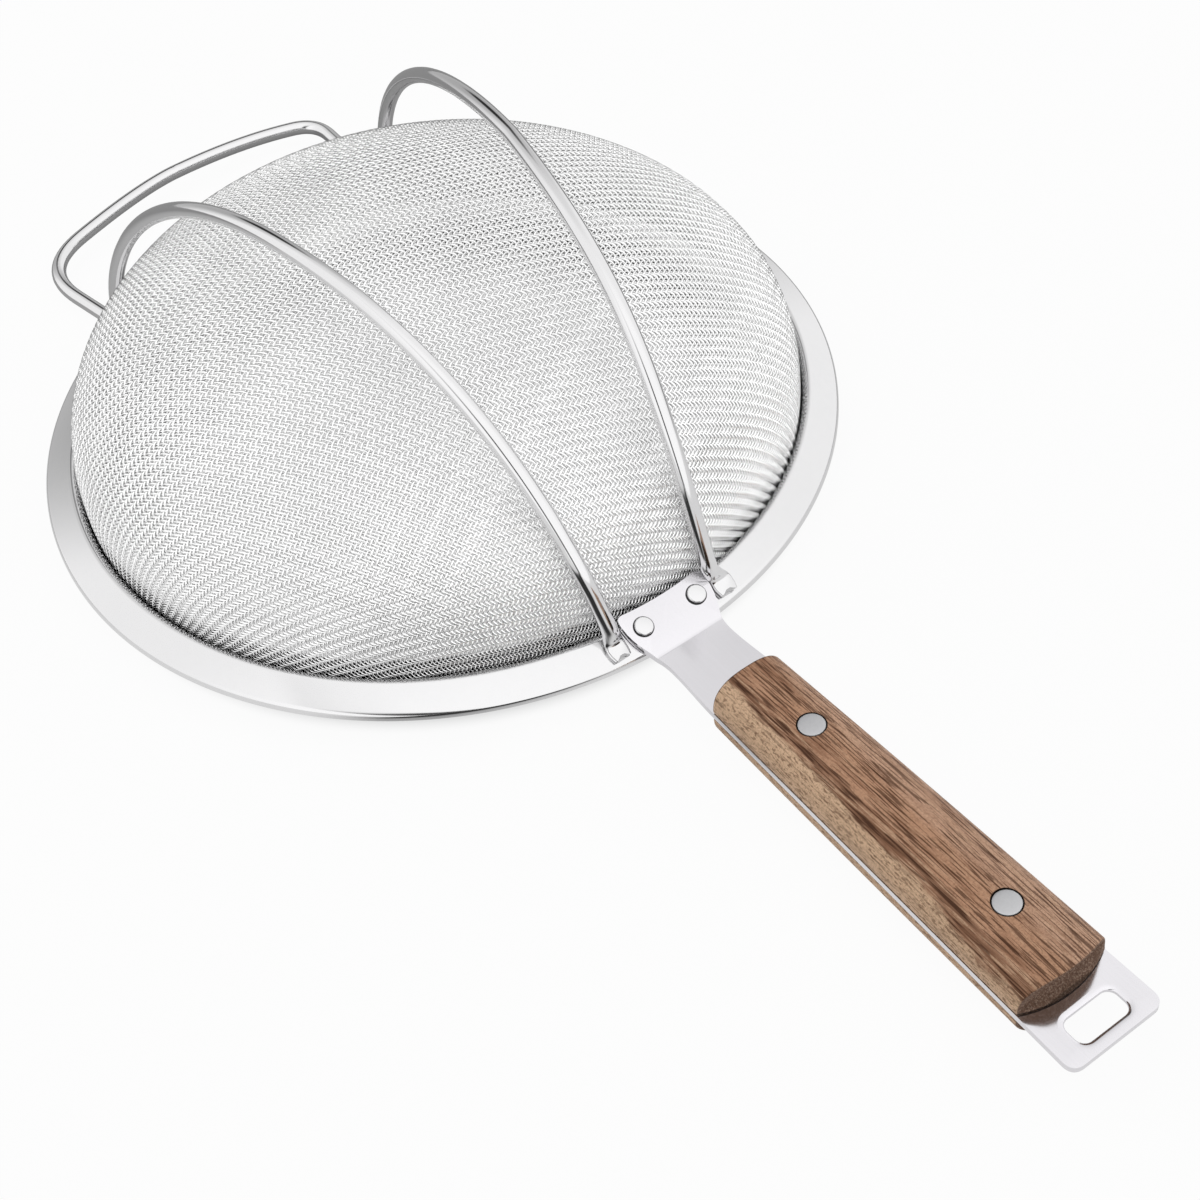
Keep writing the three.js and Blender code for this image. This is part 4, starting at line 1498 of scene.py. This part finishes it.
    def coin_slot(self, work: bmesh.types.BMesh) -> None:
        """Replaces the slot's plain wall with one that is pressed round at both faces.

        Args:
            work: the strap's mesh.
        """
        middle = self.tail_x - self.slot_inset
        near_x = self.slot_width / 2 + self.coin_width + self.slot_slack
        near_y = self.slot_length / 2 + self.coin_width + self.slot_slack
        walls = [f for f in work.faces if abs(f.normal.z) < self.wall_tilt
                 and all(abs(v.co.x - middle) < near_x and abs(v.co.y) < near_y for v in f.verts)]
        bmesh.ops.delete(work, geom=walls, context="FACES")
        foot_z = self.top_z - self.thickness
        turns = [i / self.coin_steps * math.pi / 2 for i in range(self.coin_steps + 1)]
        flare = [(self.coin_width * (1 - math.sin(t)), self.coin_depth * (1 - math.cos(t))) for t in turns]
        rings = [self.slot_ring(margin, self.top_z - down) for margin, down in flare]
        rings += [self.slot_ring(margin, foot_z + up) for margin, up in reversed(flare)]
        loop = traced(work, rings[0])
        for ring in rings[1:]:
            loop = drawn_out(work, loop, ring)


@dataclass
class Scale:
    """A wooden scale: an arched back on a flat face, with a rounded tail."""

    bench: Bench
    strap: Strap
    name: str
    node: str
    upper: bool
    front_height: float
    tail_height: float
    length: float = 111.8
    tail_rise: float = 3.2
    crown: float = 1.0
    fullness: float = 2.6
    pins: Pair = (25.0, 20.8)
    pin_hole: float = 3.7
    drill_depth: float = 60.0
    drill_sides: int = 48
    edge_angle: float = 50.0
    edge_round: float = 0.5
    crease: float = 40.0
    stations: int = 48
    arc_steps: int = 40
    base_steps: int = 12
    settle_steps: int = 4

    def height(self, x: float) -> float:
        """The height of the back above the flat face.

        Args:
            x: the place along the handle.

        Returns:
            The height there.
        """
        share = (x - self.strap.front_x) / self.length
        swell = 4 * share * (1 - share) * self.crown
        return self.front_height + (self.tail_height - self.front_height) * share + swell

    @property
    def seat_z(self) -> float:
        """The height of the flat face, on the tang."""
        top = self.strap.top_z
        return top + self.strap.seat if self.upper else top - self.strap.thickness - self.strap.seat

    def pin_places(self) -> Pair:
        """Where the pins go through, along the handle."""
        return (self.strap.front_x + self.pins[0], self.strap.front_x + self.length - self.pins[1])

    def fit(self) -> GripFit:
        """Where the wood meets other pieces.

        Returns:
            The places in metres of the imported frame.
        """
        matrix, strap = self.bench.matrix(), self.strap
        front, *pins = ((matrix @ Vector((x, 0.0, 0.0))).x for x in (strap.front_x, *self.pin_places()))
        tang = (matrix @ Vector((0.0, 0.0, strap.top_z - strap.thickness / 2))).z
        return GripFit(front, pins, self.pin_hole * MM, tang, (strap.thickness / 2 + strap.seat) * MM)

    def ring(self, share: float) -> list[Vector]:
        """The section at a share of the length.

        Args:
            share: 0 at the front and 1 on the rounded tail.

        Returns:
            The points round the section.
        """
        front, tail = self.strap.front_x, self.strap.front_x + self.length
        corner = self.strap.half_width(tail - self.tail_rise)
        radius = (corner ** 2 + self.tail_rise ** 2) / (2 * self.tail_rise)
        sign = 1.0 if self.upper else -1.0
        points = []
        turns = [i / self.arc_steps * math.pi for i in range(self.arc_steps + 1)]
        spots = [(math.copysign(abs(math.cos(t)) ** (2 / self.fullness), math.cos(t)),
                  abs(math.sin(t)) ** (2 / self.fullness)) for t in turns]
        spots[0], spots[-1] = (1.0, 0.0), (-1.0, 0.0)
        spots += [(-1.0 + 2.0 * i / self.base_steps, 0.0) for i in range(1, self.base_steps)]
        for across, up in spots:
            x = front + self.length * share
            for _ in range(self.settle_steps):
                y = self.strap.half_width(x) * across
                x = front + (tail - radius + math.sqrt(radius ** 2 - y ** 2) - front) * share
            points.append(Vector((x, y, self.seat_z + sign * self.height(x) * up)))
        return points

    def build(self, material: bpy.types.Material) -> bpy.types.Object:
        """Shapes the scale.

        Args:
            material: the wood.

        Returns:
            The piece.
        """
        work = lofted([self.ring(i / self.stations) for i in range(self.stations + 1)])
        round_edges(work, self.edge_angle, self.edge_round)
        piece = self.bench.set_down(work, self.name, material, Slot.WALNUT, [self.node], self.crease)
        self.drill(piece)
        return piece

    def drill(self, piece: bpy.types.Object) -> None:
        """Cuts the pin holes.

        Args:
            piece: the scale.
        """
        cutters = []
        for x in self.pin_places():
            work = bmesh.new()
            bmesh.ops.create_cone(work, cap_ends=True, segments=self.drill_sides, radius1=self.pin_hole,
                                  radius2=self.pin_hole, depth=self.drill_depth,
                                  matrix=Matrix.Translation((x, 0.0, self.strap.top_z)))
            bmesh.ops.transform(work, matrix=self.bench.matrix(), verts=work.verts)
            cutters.append(linked("drill", settled(work, "drill")))
            cutting = piece.modifiers.new("hole", "BOOLEAN")
            cutting.operation, cutting.solver, cutting.object = "DIFFERENCE", "EXACT", cutters[-1]
        drilled = shown_mesh(piece, self.name)
        piece.modifiers.clear()
        old, piece.data = piece.data, drilled
        bpy.data.meshes.remove(old)
        drilled.set_sharp_from_angle(angle=math.radians(self.crease))
        for cutter in cutters:
            bpy.data.meshes.remove(cutter.data)


@dataclass
class Fasteners:
    """The two pins through the grip and the two rivets through the bracket."""

    bench: Bench
    rim: Rim
    strap: Strap
    upper: Scale
    lower: Scale
    pin_diameter: float = 6.8
    pin_crown: float = 0.22
    pin_face: tuple[Pair, ...] = ((1.0, -0.9), (0.985, -0.5), (0.93, -0.18), (0.8, 0.25), (0.55, 0.68),
                                  (0.28, 0.92), (0.0, 1.0))
    pin_steps: int = 64
    rivet_inset: float = 5.85
    rivet_spacing: float = 17.0
    shank: float = 3.0
    head: float = 5.1
    head_height: float = 1.05
    head_round: float = 0.45
    head_turn: float = math.radians(81.0)
    head_dome: float = 0.15
    dome_shares: tuple[float, ...] = (0.9, 0.75, 0.5, 0.25, 0.0)
    seam_width: float = 0.25
    seam_side: float = 0.27
    seam_top: float = 0.36
    # how high above the bracket the painted shade at the head's foot reaches, and how soft its edge is
    painted_shade_height: float = 0.45
    painted_shade_blur: float = 0.1
    tail: float = 4.4
    tail_height: float = 0.9
    tail_steps: int = 6
    head_steps: int = 8
    rivet_steps: int = 48
    crease: float = 50.0

    def build_pins(self, material: bpy.types.Material) -> list[bpy.types.Object]:
        """Turns the pins.

        Args:
            material: the pins' material.

        Returns:
            The pieces.
        """
        radius = self.pin_diameter / 2
        names = (("pin_front", "front_pin"), ("pin_back", "back_pin"))
        pieces = []
        for (name, node), x in zip(names, self.upper.pin_places()):
            top = self.upper.seat_z + self.upper.height(x)
            foot = self.lower.seat_z - self.lower.height(x)
            outline = [(radius * r, foot - self.pin_crown * h) for r, h in self.pin_face][::-1]
            outline += [(radius * r, top + self.pin_crown * h) for r, h in self.pin_face]
            work = turned(outline, self.pin_steps, False)
            bmesh.ops.translate(work, vec=(x, 0.0, 0.0), verts=work.verts)
            pieces.append(self.bench.set_down(work, name, material, Slot.SATIN, [node], self.crease))
        return pieces

    def rivet_seat(self, side: float) -> tuple[Vector, Vector]:
        """Where a rivet sits on the bracket.

        Args:
            side: its place across the handle.

        Returns:
            The middle of its seat and the way square to the bracket.
        """
        slope, x = self.rim.slope, self.rim.radius - self.rivet_inset
        square = Vector((math.sin(slope), 0.0, math.cos(slope)))
        lift = self.strap.seat + self.strap.thickness
        return Vector((x, side, self.rim.flange_top(x))) + square * lift, square

    def seam(self, graph: Graph) -> Term:
        """The mask of the painted shade at the foot of the rivets' heads.

        Args:
            graph: the material that it is for.

        Returns:
            1 below the painted shade's level above the bracket and 0 over it.
        """
        seat, square = self.rivet_seat(0.0)
        level = (self.bench.matrix() @ (seat + square * self.painted_shade_height)).dot(square)
        return graph.dot(graph.place(), tuple(square)).step(level, level - self.painted_shade_blur * MM)

    def build_rivets(self, material: bpy.types.Material) -> list[bpy.types.Object]:
        """Sets the rivets square to the flange.

        Args:
            material: the rivets' material.

        Returns:
            The pieces.
        """
        slope, side = self.rim.slope, self.rivet_spacing / 2
        x = self.rim.radius - self.rivet_inset
        grip = self.strap.thickness + self.strap.seat + self.rim.sheet
        sag = side ** 2 / (2 * x) * math.sin(slope)
        under = -(grip + sag + self.strap.seat)
        low, tail_round = under - self.tail_height, self.tail_height / 2
        tail_x = self.tail / 2 - tail_round
        outline = [(0.0, low)]
        outline += bend((tail_x, under - tail_round), tail_round, -math.pi / 2, 0.0, self.tail_steps)
        shank, seat = self.shank / 2, self.strap.seat / 2
        outline += [(self.tail / 2, under), (shank, under), (shank, seat)]
        shoulder = self.head / 2 - self.head_round
        foot = self.head / 2 + self.seam_width
        outline += [(foot, seat), (foot, self.seam_side), (self.head / 2, self.seam_top)]
        neck = (shoulder, self.head_height - self.head_round)
        outline += bend(neck, self.head_round, 0.0, self.head_turn, self.head_steps)
        outline += [(shoulder * share, self.head_height + self.head_dome * (1.0 - share ** 2))
                    for share in self.dome_shares]
        pieces = []
        for name, node, y in (("rivet_left", "left_rivet", -side), ("rivet_right", "right_rivet", side)):
            work = turned(outline, self.rivet_steps, False)
            seat = self.rivet_seat(y)[0]
            bmesh.ops.transform(work, verts=work.verts,
                                matrix=Matrix.Translation(seat) @ Matrix.Rotation(slope, 4, "Y"))
            pieces.append(self.bench.set_down(work, name, material, Slot.POLISHED, [node], self.crease))
        return pieces


@dataclass(frozen=True)
class Camera:
    """The camera at the photograph's place, with its focal length in the photograph's pixels."""

    bench: Bench
    focal: float = 2083.43
    azimuth: float = math.radians(59.17)
    elevation: float = math.radians(47.46)
    roll: float = math.radians(-7.48)
    distance: float = 600.56
    shift: Pair = (45.99, -54.53)
    sensor: float = 36.0
    clip: Pair = (0.01, 50.0)

    def build(self) -> bpy.types.Object:
        """Makes the camera and gives it to the scene.

        Returns:
            The camera.
        """
        a, e, r = self.azimuth, self.elevation, self.roll
        back = Vector((math.sin(a) * math.cos(e), -math.cos(a) * math.cos(e), math.sin(e)))
        level = (-back).cross(Vector((0.0, 0.0, 1.0))).normalized()
        rise = level.cross(-back)
        right = level * math.cos(r) + rise * math.sin(r)
        up = rise * math.cos(r) - level * math.sin(r)
        eye = self.bench.matrix() @ (back * self.distance + right * self.shift[0] + up * self.shift[1])
        data = bpy.data.cameras.new("camera")
        data.sensor_width = self.sensor
        data.lens = self.focal / PHOTO_SIDE * self.sensor
        data.clip_start, data.clip_end = self.clip
        camera = linked("camera", data)
        camera.matrix_world = from_axes(right, up, back, eye)
        bpy.context.scene.camera = camera
        return camera


def way_to(azimuth: float, elevation: float) -> Triple:
    """The unit vector towards a place in the room.

    Args:
        azimuth: degrees round from the X axis.
        elevation: degrees above the floor.

    Returns:
        The vector.
    """
    a, e = math.radians(azimuth), math.radians(elevation)
    return (math.cos(a) * math.cos(e), math.sin(a) * math.cos(e), math.sin(e))


@dataclass(frozen=True)
class Lamp:
    """A soft square lamp that faces the part and isn't mirrored in it, in metres and watts."""

    name: str
    place: Triple
    side: float
    power: float

    def build(self) -> None:
        """Hangs the lamp."""
        data = bpy.data.lights.new(self.name, "AREA")
        data.shape, data.size, data.energy = "SQUARE", self.side, self.power
        lamp = linked(self.name, data)
        lamp.visible_glossy = False
        lamp.location = self.place
        lamp.rotation_mode = "QUATERNION"
        lamp.rotation_quaternion = (-Vector(self.place)).to_track_quat("-Z", "Y")


@dataclass(frozen=True)
class Studio:
    """The white floor, the soft lamps and the pale room, which has a dark aisle and a dark corner.

    A glow is what the camera sees, and a sheen or shine is what the metal mirrors. Lengths are metres about
    the bowl's axis, and a way is a unit vector from the part into the room.
    """

    bench: Bench
    lamps: tuple[Lamp, ...] = (Lamp("key", (-1.0, -0.8, 1.7), side=3.0, power=28.0),
                               Lamp("fill", (0.9, 0.9, 1.3), side=1.4, power=6.0))
    floor_side: float = 8.0
    floor_gap: float = 0.0002
    floor_colour: Colour = (0.74, 0.74, 0.74)
    floor_painted_shadow: Colour = (0.10, 0.10, 0.10)
    floor_glow: float = 0.95
    floor_sheen: float = 0.60
    shade_inside: float = 0.098
    shade_outside: float = 0.112
    inside_glow: float = 0.42
    inside_sheen: float = 1.15
    inside_move: Pair = (0.0052, -0.0031)
    inside_core: float = 0.068
    inside_edge: float = 0.098
    back_sheen: Colour = (0.12, 0.12, 0.12)
    front_sheen: Colour = (1.10, 1.10, 1.10)
    sheen_way: Triple = way_to(-31.0, 0.0)
    sheen_back: float = -0.16
    sheen_front: float = 0.10
    painted_reflection_colour: Colour = (0.05, 0.05, 0.05)
    painted_reflection_start: Pair = (0.085, -0.03)
    painted_reflection_turn: float = math.radians(-38.0)
    painted_reflection_near: float = 0.02
    painted_reflection_reach: float = 0.05
    painted_reflection_half: float = 0.035
    painted_reflection_edge: float = 0.063
    sky: float = 0.40
    shine: float = 1.15
    front_way: Triple = way_to(-20.0, 30.0)
    front_band: Pair = (0.1, 0.7)
    front_shine: float = 0.15
    back_way: Triple = way_to(165.0, 2.0)
    back_band: Pair = (0.62, 0.92)
    back_depth: float = 0.45
    aisle_across: Triple = (-0.594, -0.709, -0.381)
    aisle_shift: float = 0.06
    aisle_core: float = 0.08
    aisle_edge: float = 0.16
    aisle_low: float = 0.55
    aisle_high: float = 1.0
    aisle_side: Triple = way_to(-60.0, 0.0)
    aisle_band: Pair = (-0.1, 0.25)
    aisle_depth: float = 0.94
    corner_way: Triple = way_to(162.0, 31.0)
    corner_core: float = math.radians(7.0)
    corner_edge: float = math.radians(15.0)
    corner_depth: float = 0.94
    skirt_core: float = math.radians(22.0)
    skirt_edge: float = math.radians(40.0)
    skirt_depth: float = 0.17

    def build(self) -> None:
        """Sets up the floor, the surroundings and the lamps."""
        bpy.context.scene.view_settings.view_transform = "Standard"
        self.build_floor()
        self.build_world()
        for lamp in self.lamps:
            lamp.build()

    def build_floor(self) -> None:
        """Lays the floor."""
        work = bmesh.new()
        low = CAD_BOX[0].z - self.floor_gap
        bmesh.ops.create_grid(work, x_segments=2, y_segments=2, size=self.floor_side / 2,
                              matrix=Matrix.Translation((0.0, 0.0, low)))
        mesh = settled(work, "floor")
        floor = linked("floor", mesh)
        mesh.materials.append(self.floor_material())

    def floor_material(self) -> bpy.types.Material:
        """Makes the floor white to the camera, with a painted shadow and a painted pool of light inside the
        bowl, and painted tones that only the metal's reflections show.

        Returns:
            The material.
        """
        graph = MaterialGraph("white_floor")
        camera, glossy, through = map(graph.ray, ("Is Camera Ray", "Is Glossy Ray", "Is Transmission Ray"))
        spot = graph.place(move=(-self.bench.axis_x, 0.0, 0.0))
        open_floor = graph.length(spot).step(self.shade_inside, self.shade_outside)
        nearer = graph.dot(spot, self.sheen_way).step(self.sheen_back, self.sheen_front)
        sheen = graph.mix(nearer, self.back_sheen, self.front_sheen)
        painted_reflection = self.painted_reflection(graph, spot)
        inner = graph.place(move=(-self.bench.axis_x - self.inside_move[0], -self.inside_move[1], 0.0))
        # painted pool of light: a disc on the floor inside the bowl that glows to the camera and in
        # reflections
        lit = graph.length(inner).step(self.inside_edge, self.inside_core)
        white = lit * self.inside_glow + open_floor * self.floor_glow
        mirrored = open_floor * (1.0 - painted_reflection) * self.floor_sheen + lit * self.inside_sheen
        share = camera.largest(through) * white + glossy * mirrored
        # painted shadow: a dark floor colour in a ring under the bowl, round the painted pool of light
        tone = graph.mix(open_floor.largest(lit), self.floor_painted_shadow, self.floor_colour)
        # painted reflection: a dark strip on the floor that only glossy rays see
        tone = graph.mix(painted_reflection * glossy, tone, self.painted_reflection_colour)
        matt = graph.add("ShaderNodeBsdfDiffuse", {}, {"Color": tone})
        bright = graph.mix(glossy * (1.0 - lit), WHITE, sheen)
        glow = graph.add("ShaderNodeEmission", {}, {"Color": bright, "Strength": 1.0})
        shader = graph.add("ShaderNodeMixShader", {}, {0: share, 1: matt, 2: glow})
        graph.add_output("ShaderNodeOutputMaterial", shader)
        return graph.material

    def painted_reflection(self, graph: Graph, spot: Term) -> Term:
        """The mask of the dark strip painted on the floor, which only the metal's reflections show.

        Args:
            graph: the floor's material.
            spot: the place about the bowl's axis.

        Returns:
            1 on the strip and 0 beside it.
        """
        along = Vector((math.cos(self.painted_reflection_turn), math.sin(self.painted_reflection_turn)))
        across = Vector((-along.y, along.x))
        start = Vector(self.painted_reflection_start)
        out = graph.dot(spot, (*along, 0.0)) - start.dot(along)
        aside = (graph.dot(spot, (*across, 0.0)) - start.dot(across)).size()
        return out.step(self.painted_reflection_near, self.painted_reflection_reach) * aside.step(self.painted_reflection_edge, self.painted_reflection_half)

    def build_world(self) -> None:
        """Makes the room: white to the camera, and white with a dark aisle and corner to the metal."""
        world = bpy.data.worlds.new("studio")
        bpy.context.scene.world = world
        world.use_nodes = True
        graph = Graph(world.node_tree)
        camera, glossy = map(graph.ray, ("Is Camera Ray", "Is Glossy Ray"))
        way = graph.add("ShaderNodeTexCoord", {}, {}, "Generated")
        aside = (graph.dot(way, self.aisle_across) + self.aisle_shift).size()
        aisle = aside.step(self.aisle_edge, self.aisle_core)
        aisle = aisle * graph.part(way, "Z").step(self.aisle_high, self.aisle_low)
        aisle = aisle * graph.dot(way, self.aisle_side).step(*self.aisle_band)
        nearness = graph.dot(way, self.corner_way)
        corner = nearness.step(math.cos(self.corner_edge), math.cos(self.corner_core))
        skirt = nearness.step(math.cos(self.skirt_edge), math.cos(self.skirt_core))
        front = graph.dot(way, self.front_way).step(*self.front_band)
        shine = (1.0 - corner * self.corner_depth) * (1.0 - skirt * self.skirt_depth)
        dim = graph.dot(way, self.back_way).step(*self.back_band)
        shine = shine * (self.shine + front * self.front_shine) * (1.0 - dim * self.back_depth)
        shine = shine * (1.0 - aisle * self.aisle_depth)
        strength = self.sky + camera * (1.0 - self.sky) + glossy * (shine - self.sky)
        light = graph.add("ShaderNodeBackground", {}, {"Color": (*WHITE, 1.0), "Strength": strength})
        graph.add_output("ShaderNodeOutputWorld", light)


WOVEN_STEEL = SteelFinish("woven_steel", (0.98, 0.98, 0.98), roughness=0.14, spread=0.06,
                          grain=(900.0, 900.0, 900.0), relief=0.0)
POLISHED_STEEL = SteelFinish("polished_steel", (0.72, 0.717, 0.722), roughness=0.10, spread=0.04,
                             grain=(500.0, 500.0, 500.0), relief=0.0, mottle=0.01)
SATIN_STEEL = SteelFinish("satin_steel", (0.73, 0.717, 0.742), roughness=0.13, spread=0.04,
                          grain=(60.0, 2600.0, 2600.0), relief=0.000001, mottle=0.02)
SANDED_STEEL = SteelFinish("sanded_steel", (0.54, 0.54, 0.55), roughness=0.58, spread=0.10,
                           grain=(1500.0, 1500.0, 1500.0), relief=0.000004)
FOLDED_STEEL = SteelFinish("folded_steel", (0.60, 0.60, 0.60), roughness=0.35, spread=0.10,
                           grain=(700.0, 700.0, 700.0), relief=0.000002)
WALNUT = WalnutFinish("walnut")


def main() -> None:
    """Builds the strainer's pieces in order and sets up the studio."""
    logging.basicConfig(level=logging.INFO, format="%(name)s %(message)s")
    bench = Bench.from_frame()
    Camera(bench).build()
    polished = POLISHED_STEEL.material()
    bowl = WovenBowl(bench)
    bowl.build(WOVEN_STEEL.material())
    rim = Rim(bench)
    rim.build_flange(polished)
    # the clamp ring's outside and top edge get painted shade
    rim.build_clamp(FOLDED_STEEL.material(rim.clamp_painted_shade))
    GuardWire(bench, rim, bowl).build(polished)
    strap = Strap(bench, rim)
    strap.build(SATIN_STEEL.material())
    upper = Scale(bench, strap, "scale_upper", "upper_scale", upper=True, front_height=9.4, tail_height=10.4)
    lower = Scale(bench, strap, "scale_lower", "lower_scale", upper=False, front_height=8.0, tail_height=7.6)
    walnut = WALNUT.material(upper.fit())
    upper.build(walnut)
    lower.build(walnut)
    fasteners = Fasteners(bench, rim, strap, upper, lower)
    fasteners.build_pins(SANDED_STEEL.material())
    # the rivets get painted shade at the foot of their heads
    fasteners.build_rivets(POLISHED_STEEL.material(fasteners.seam))
    Studio(bench).build()


if __name__ == "__main__":
    main()
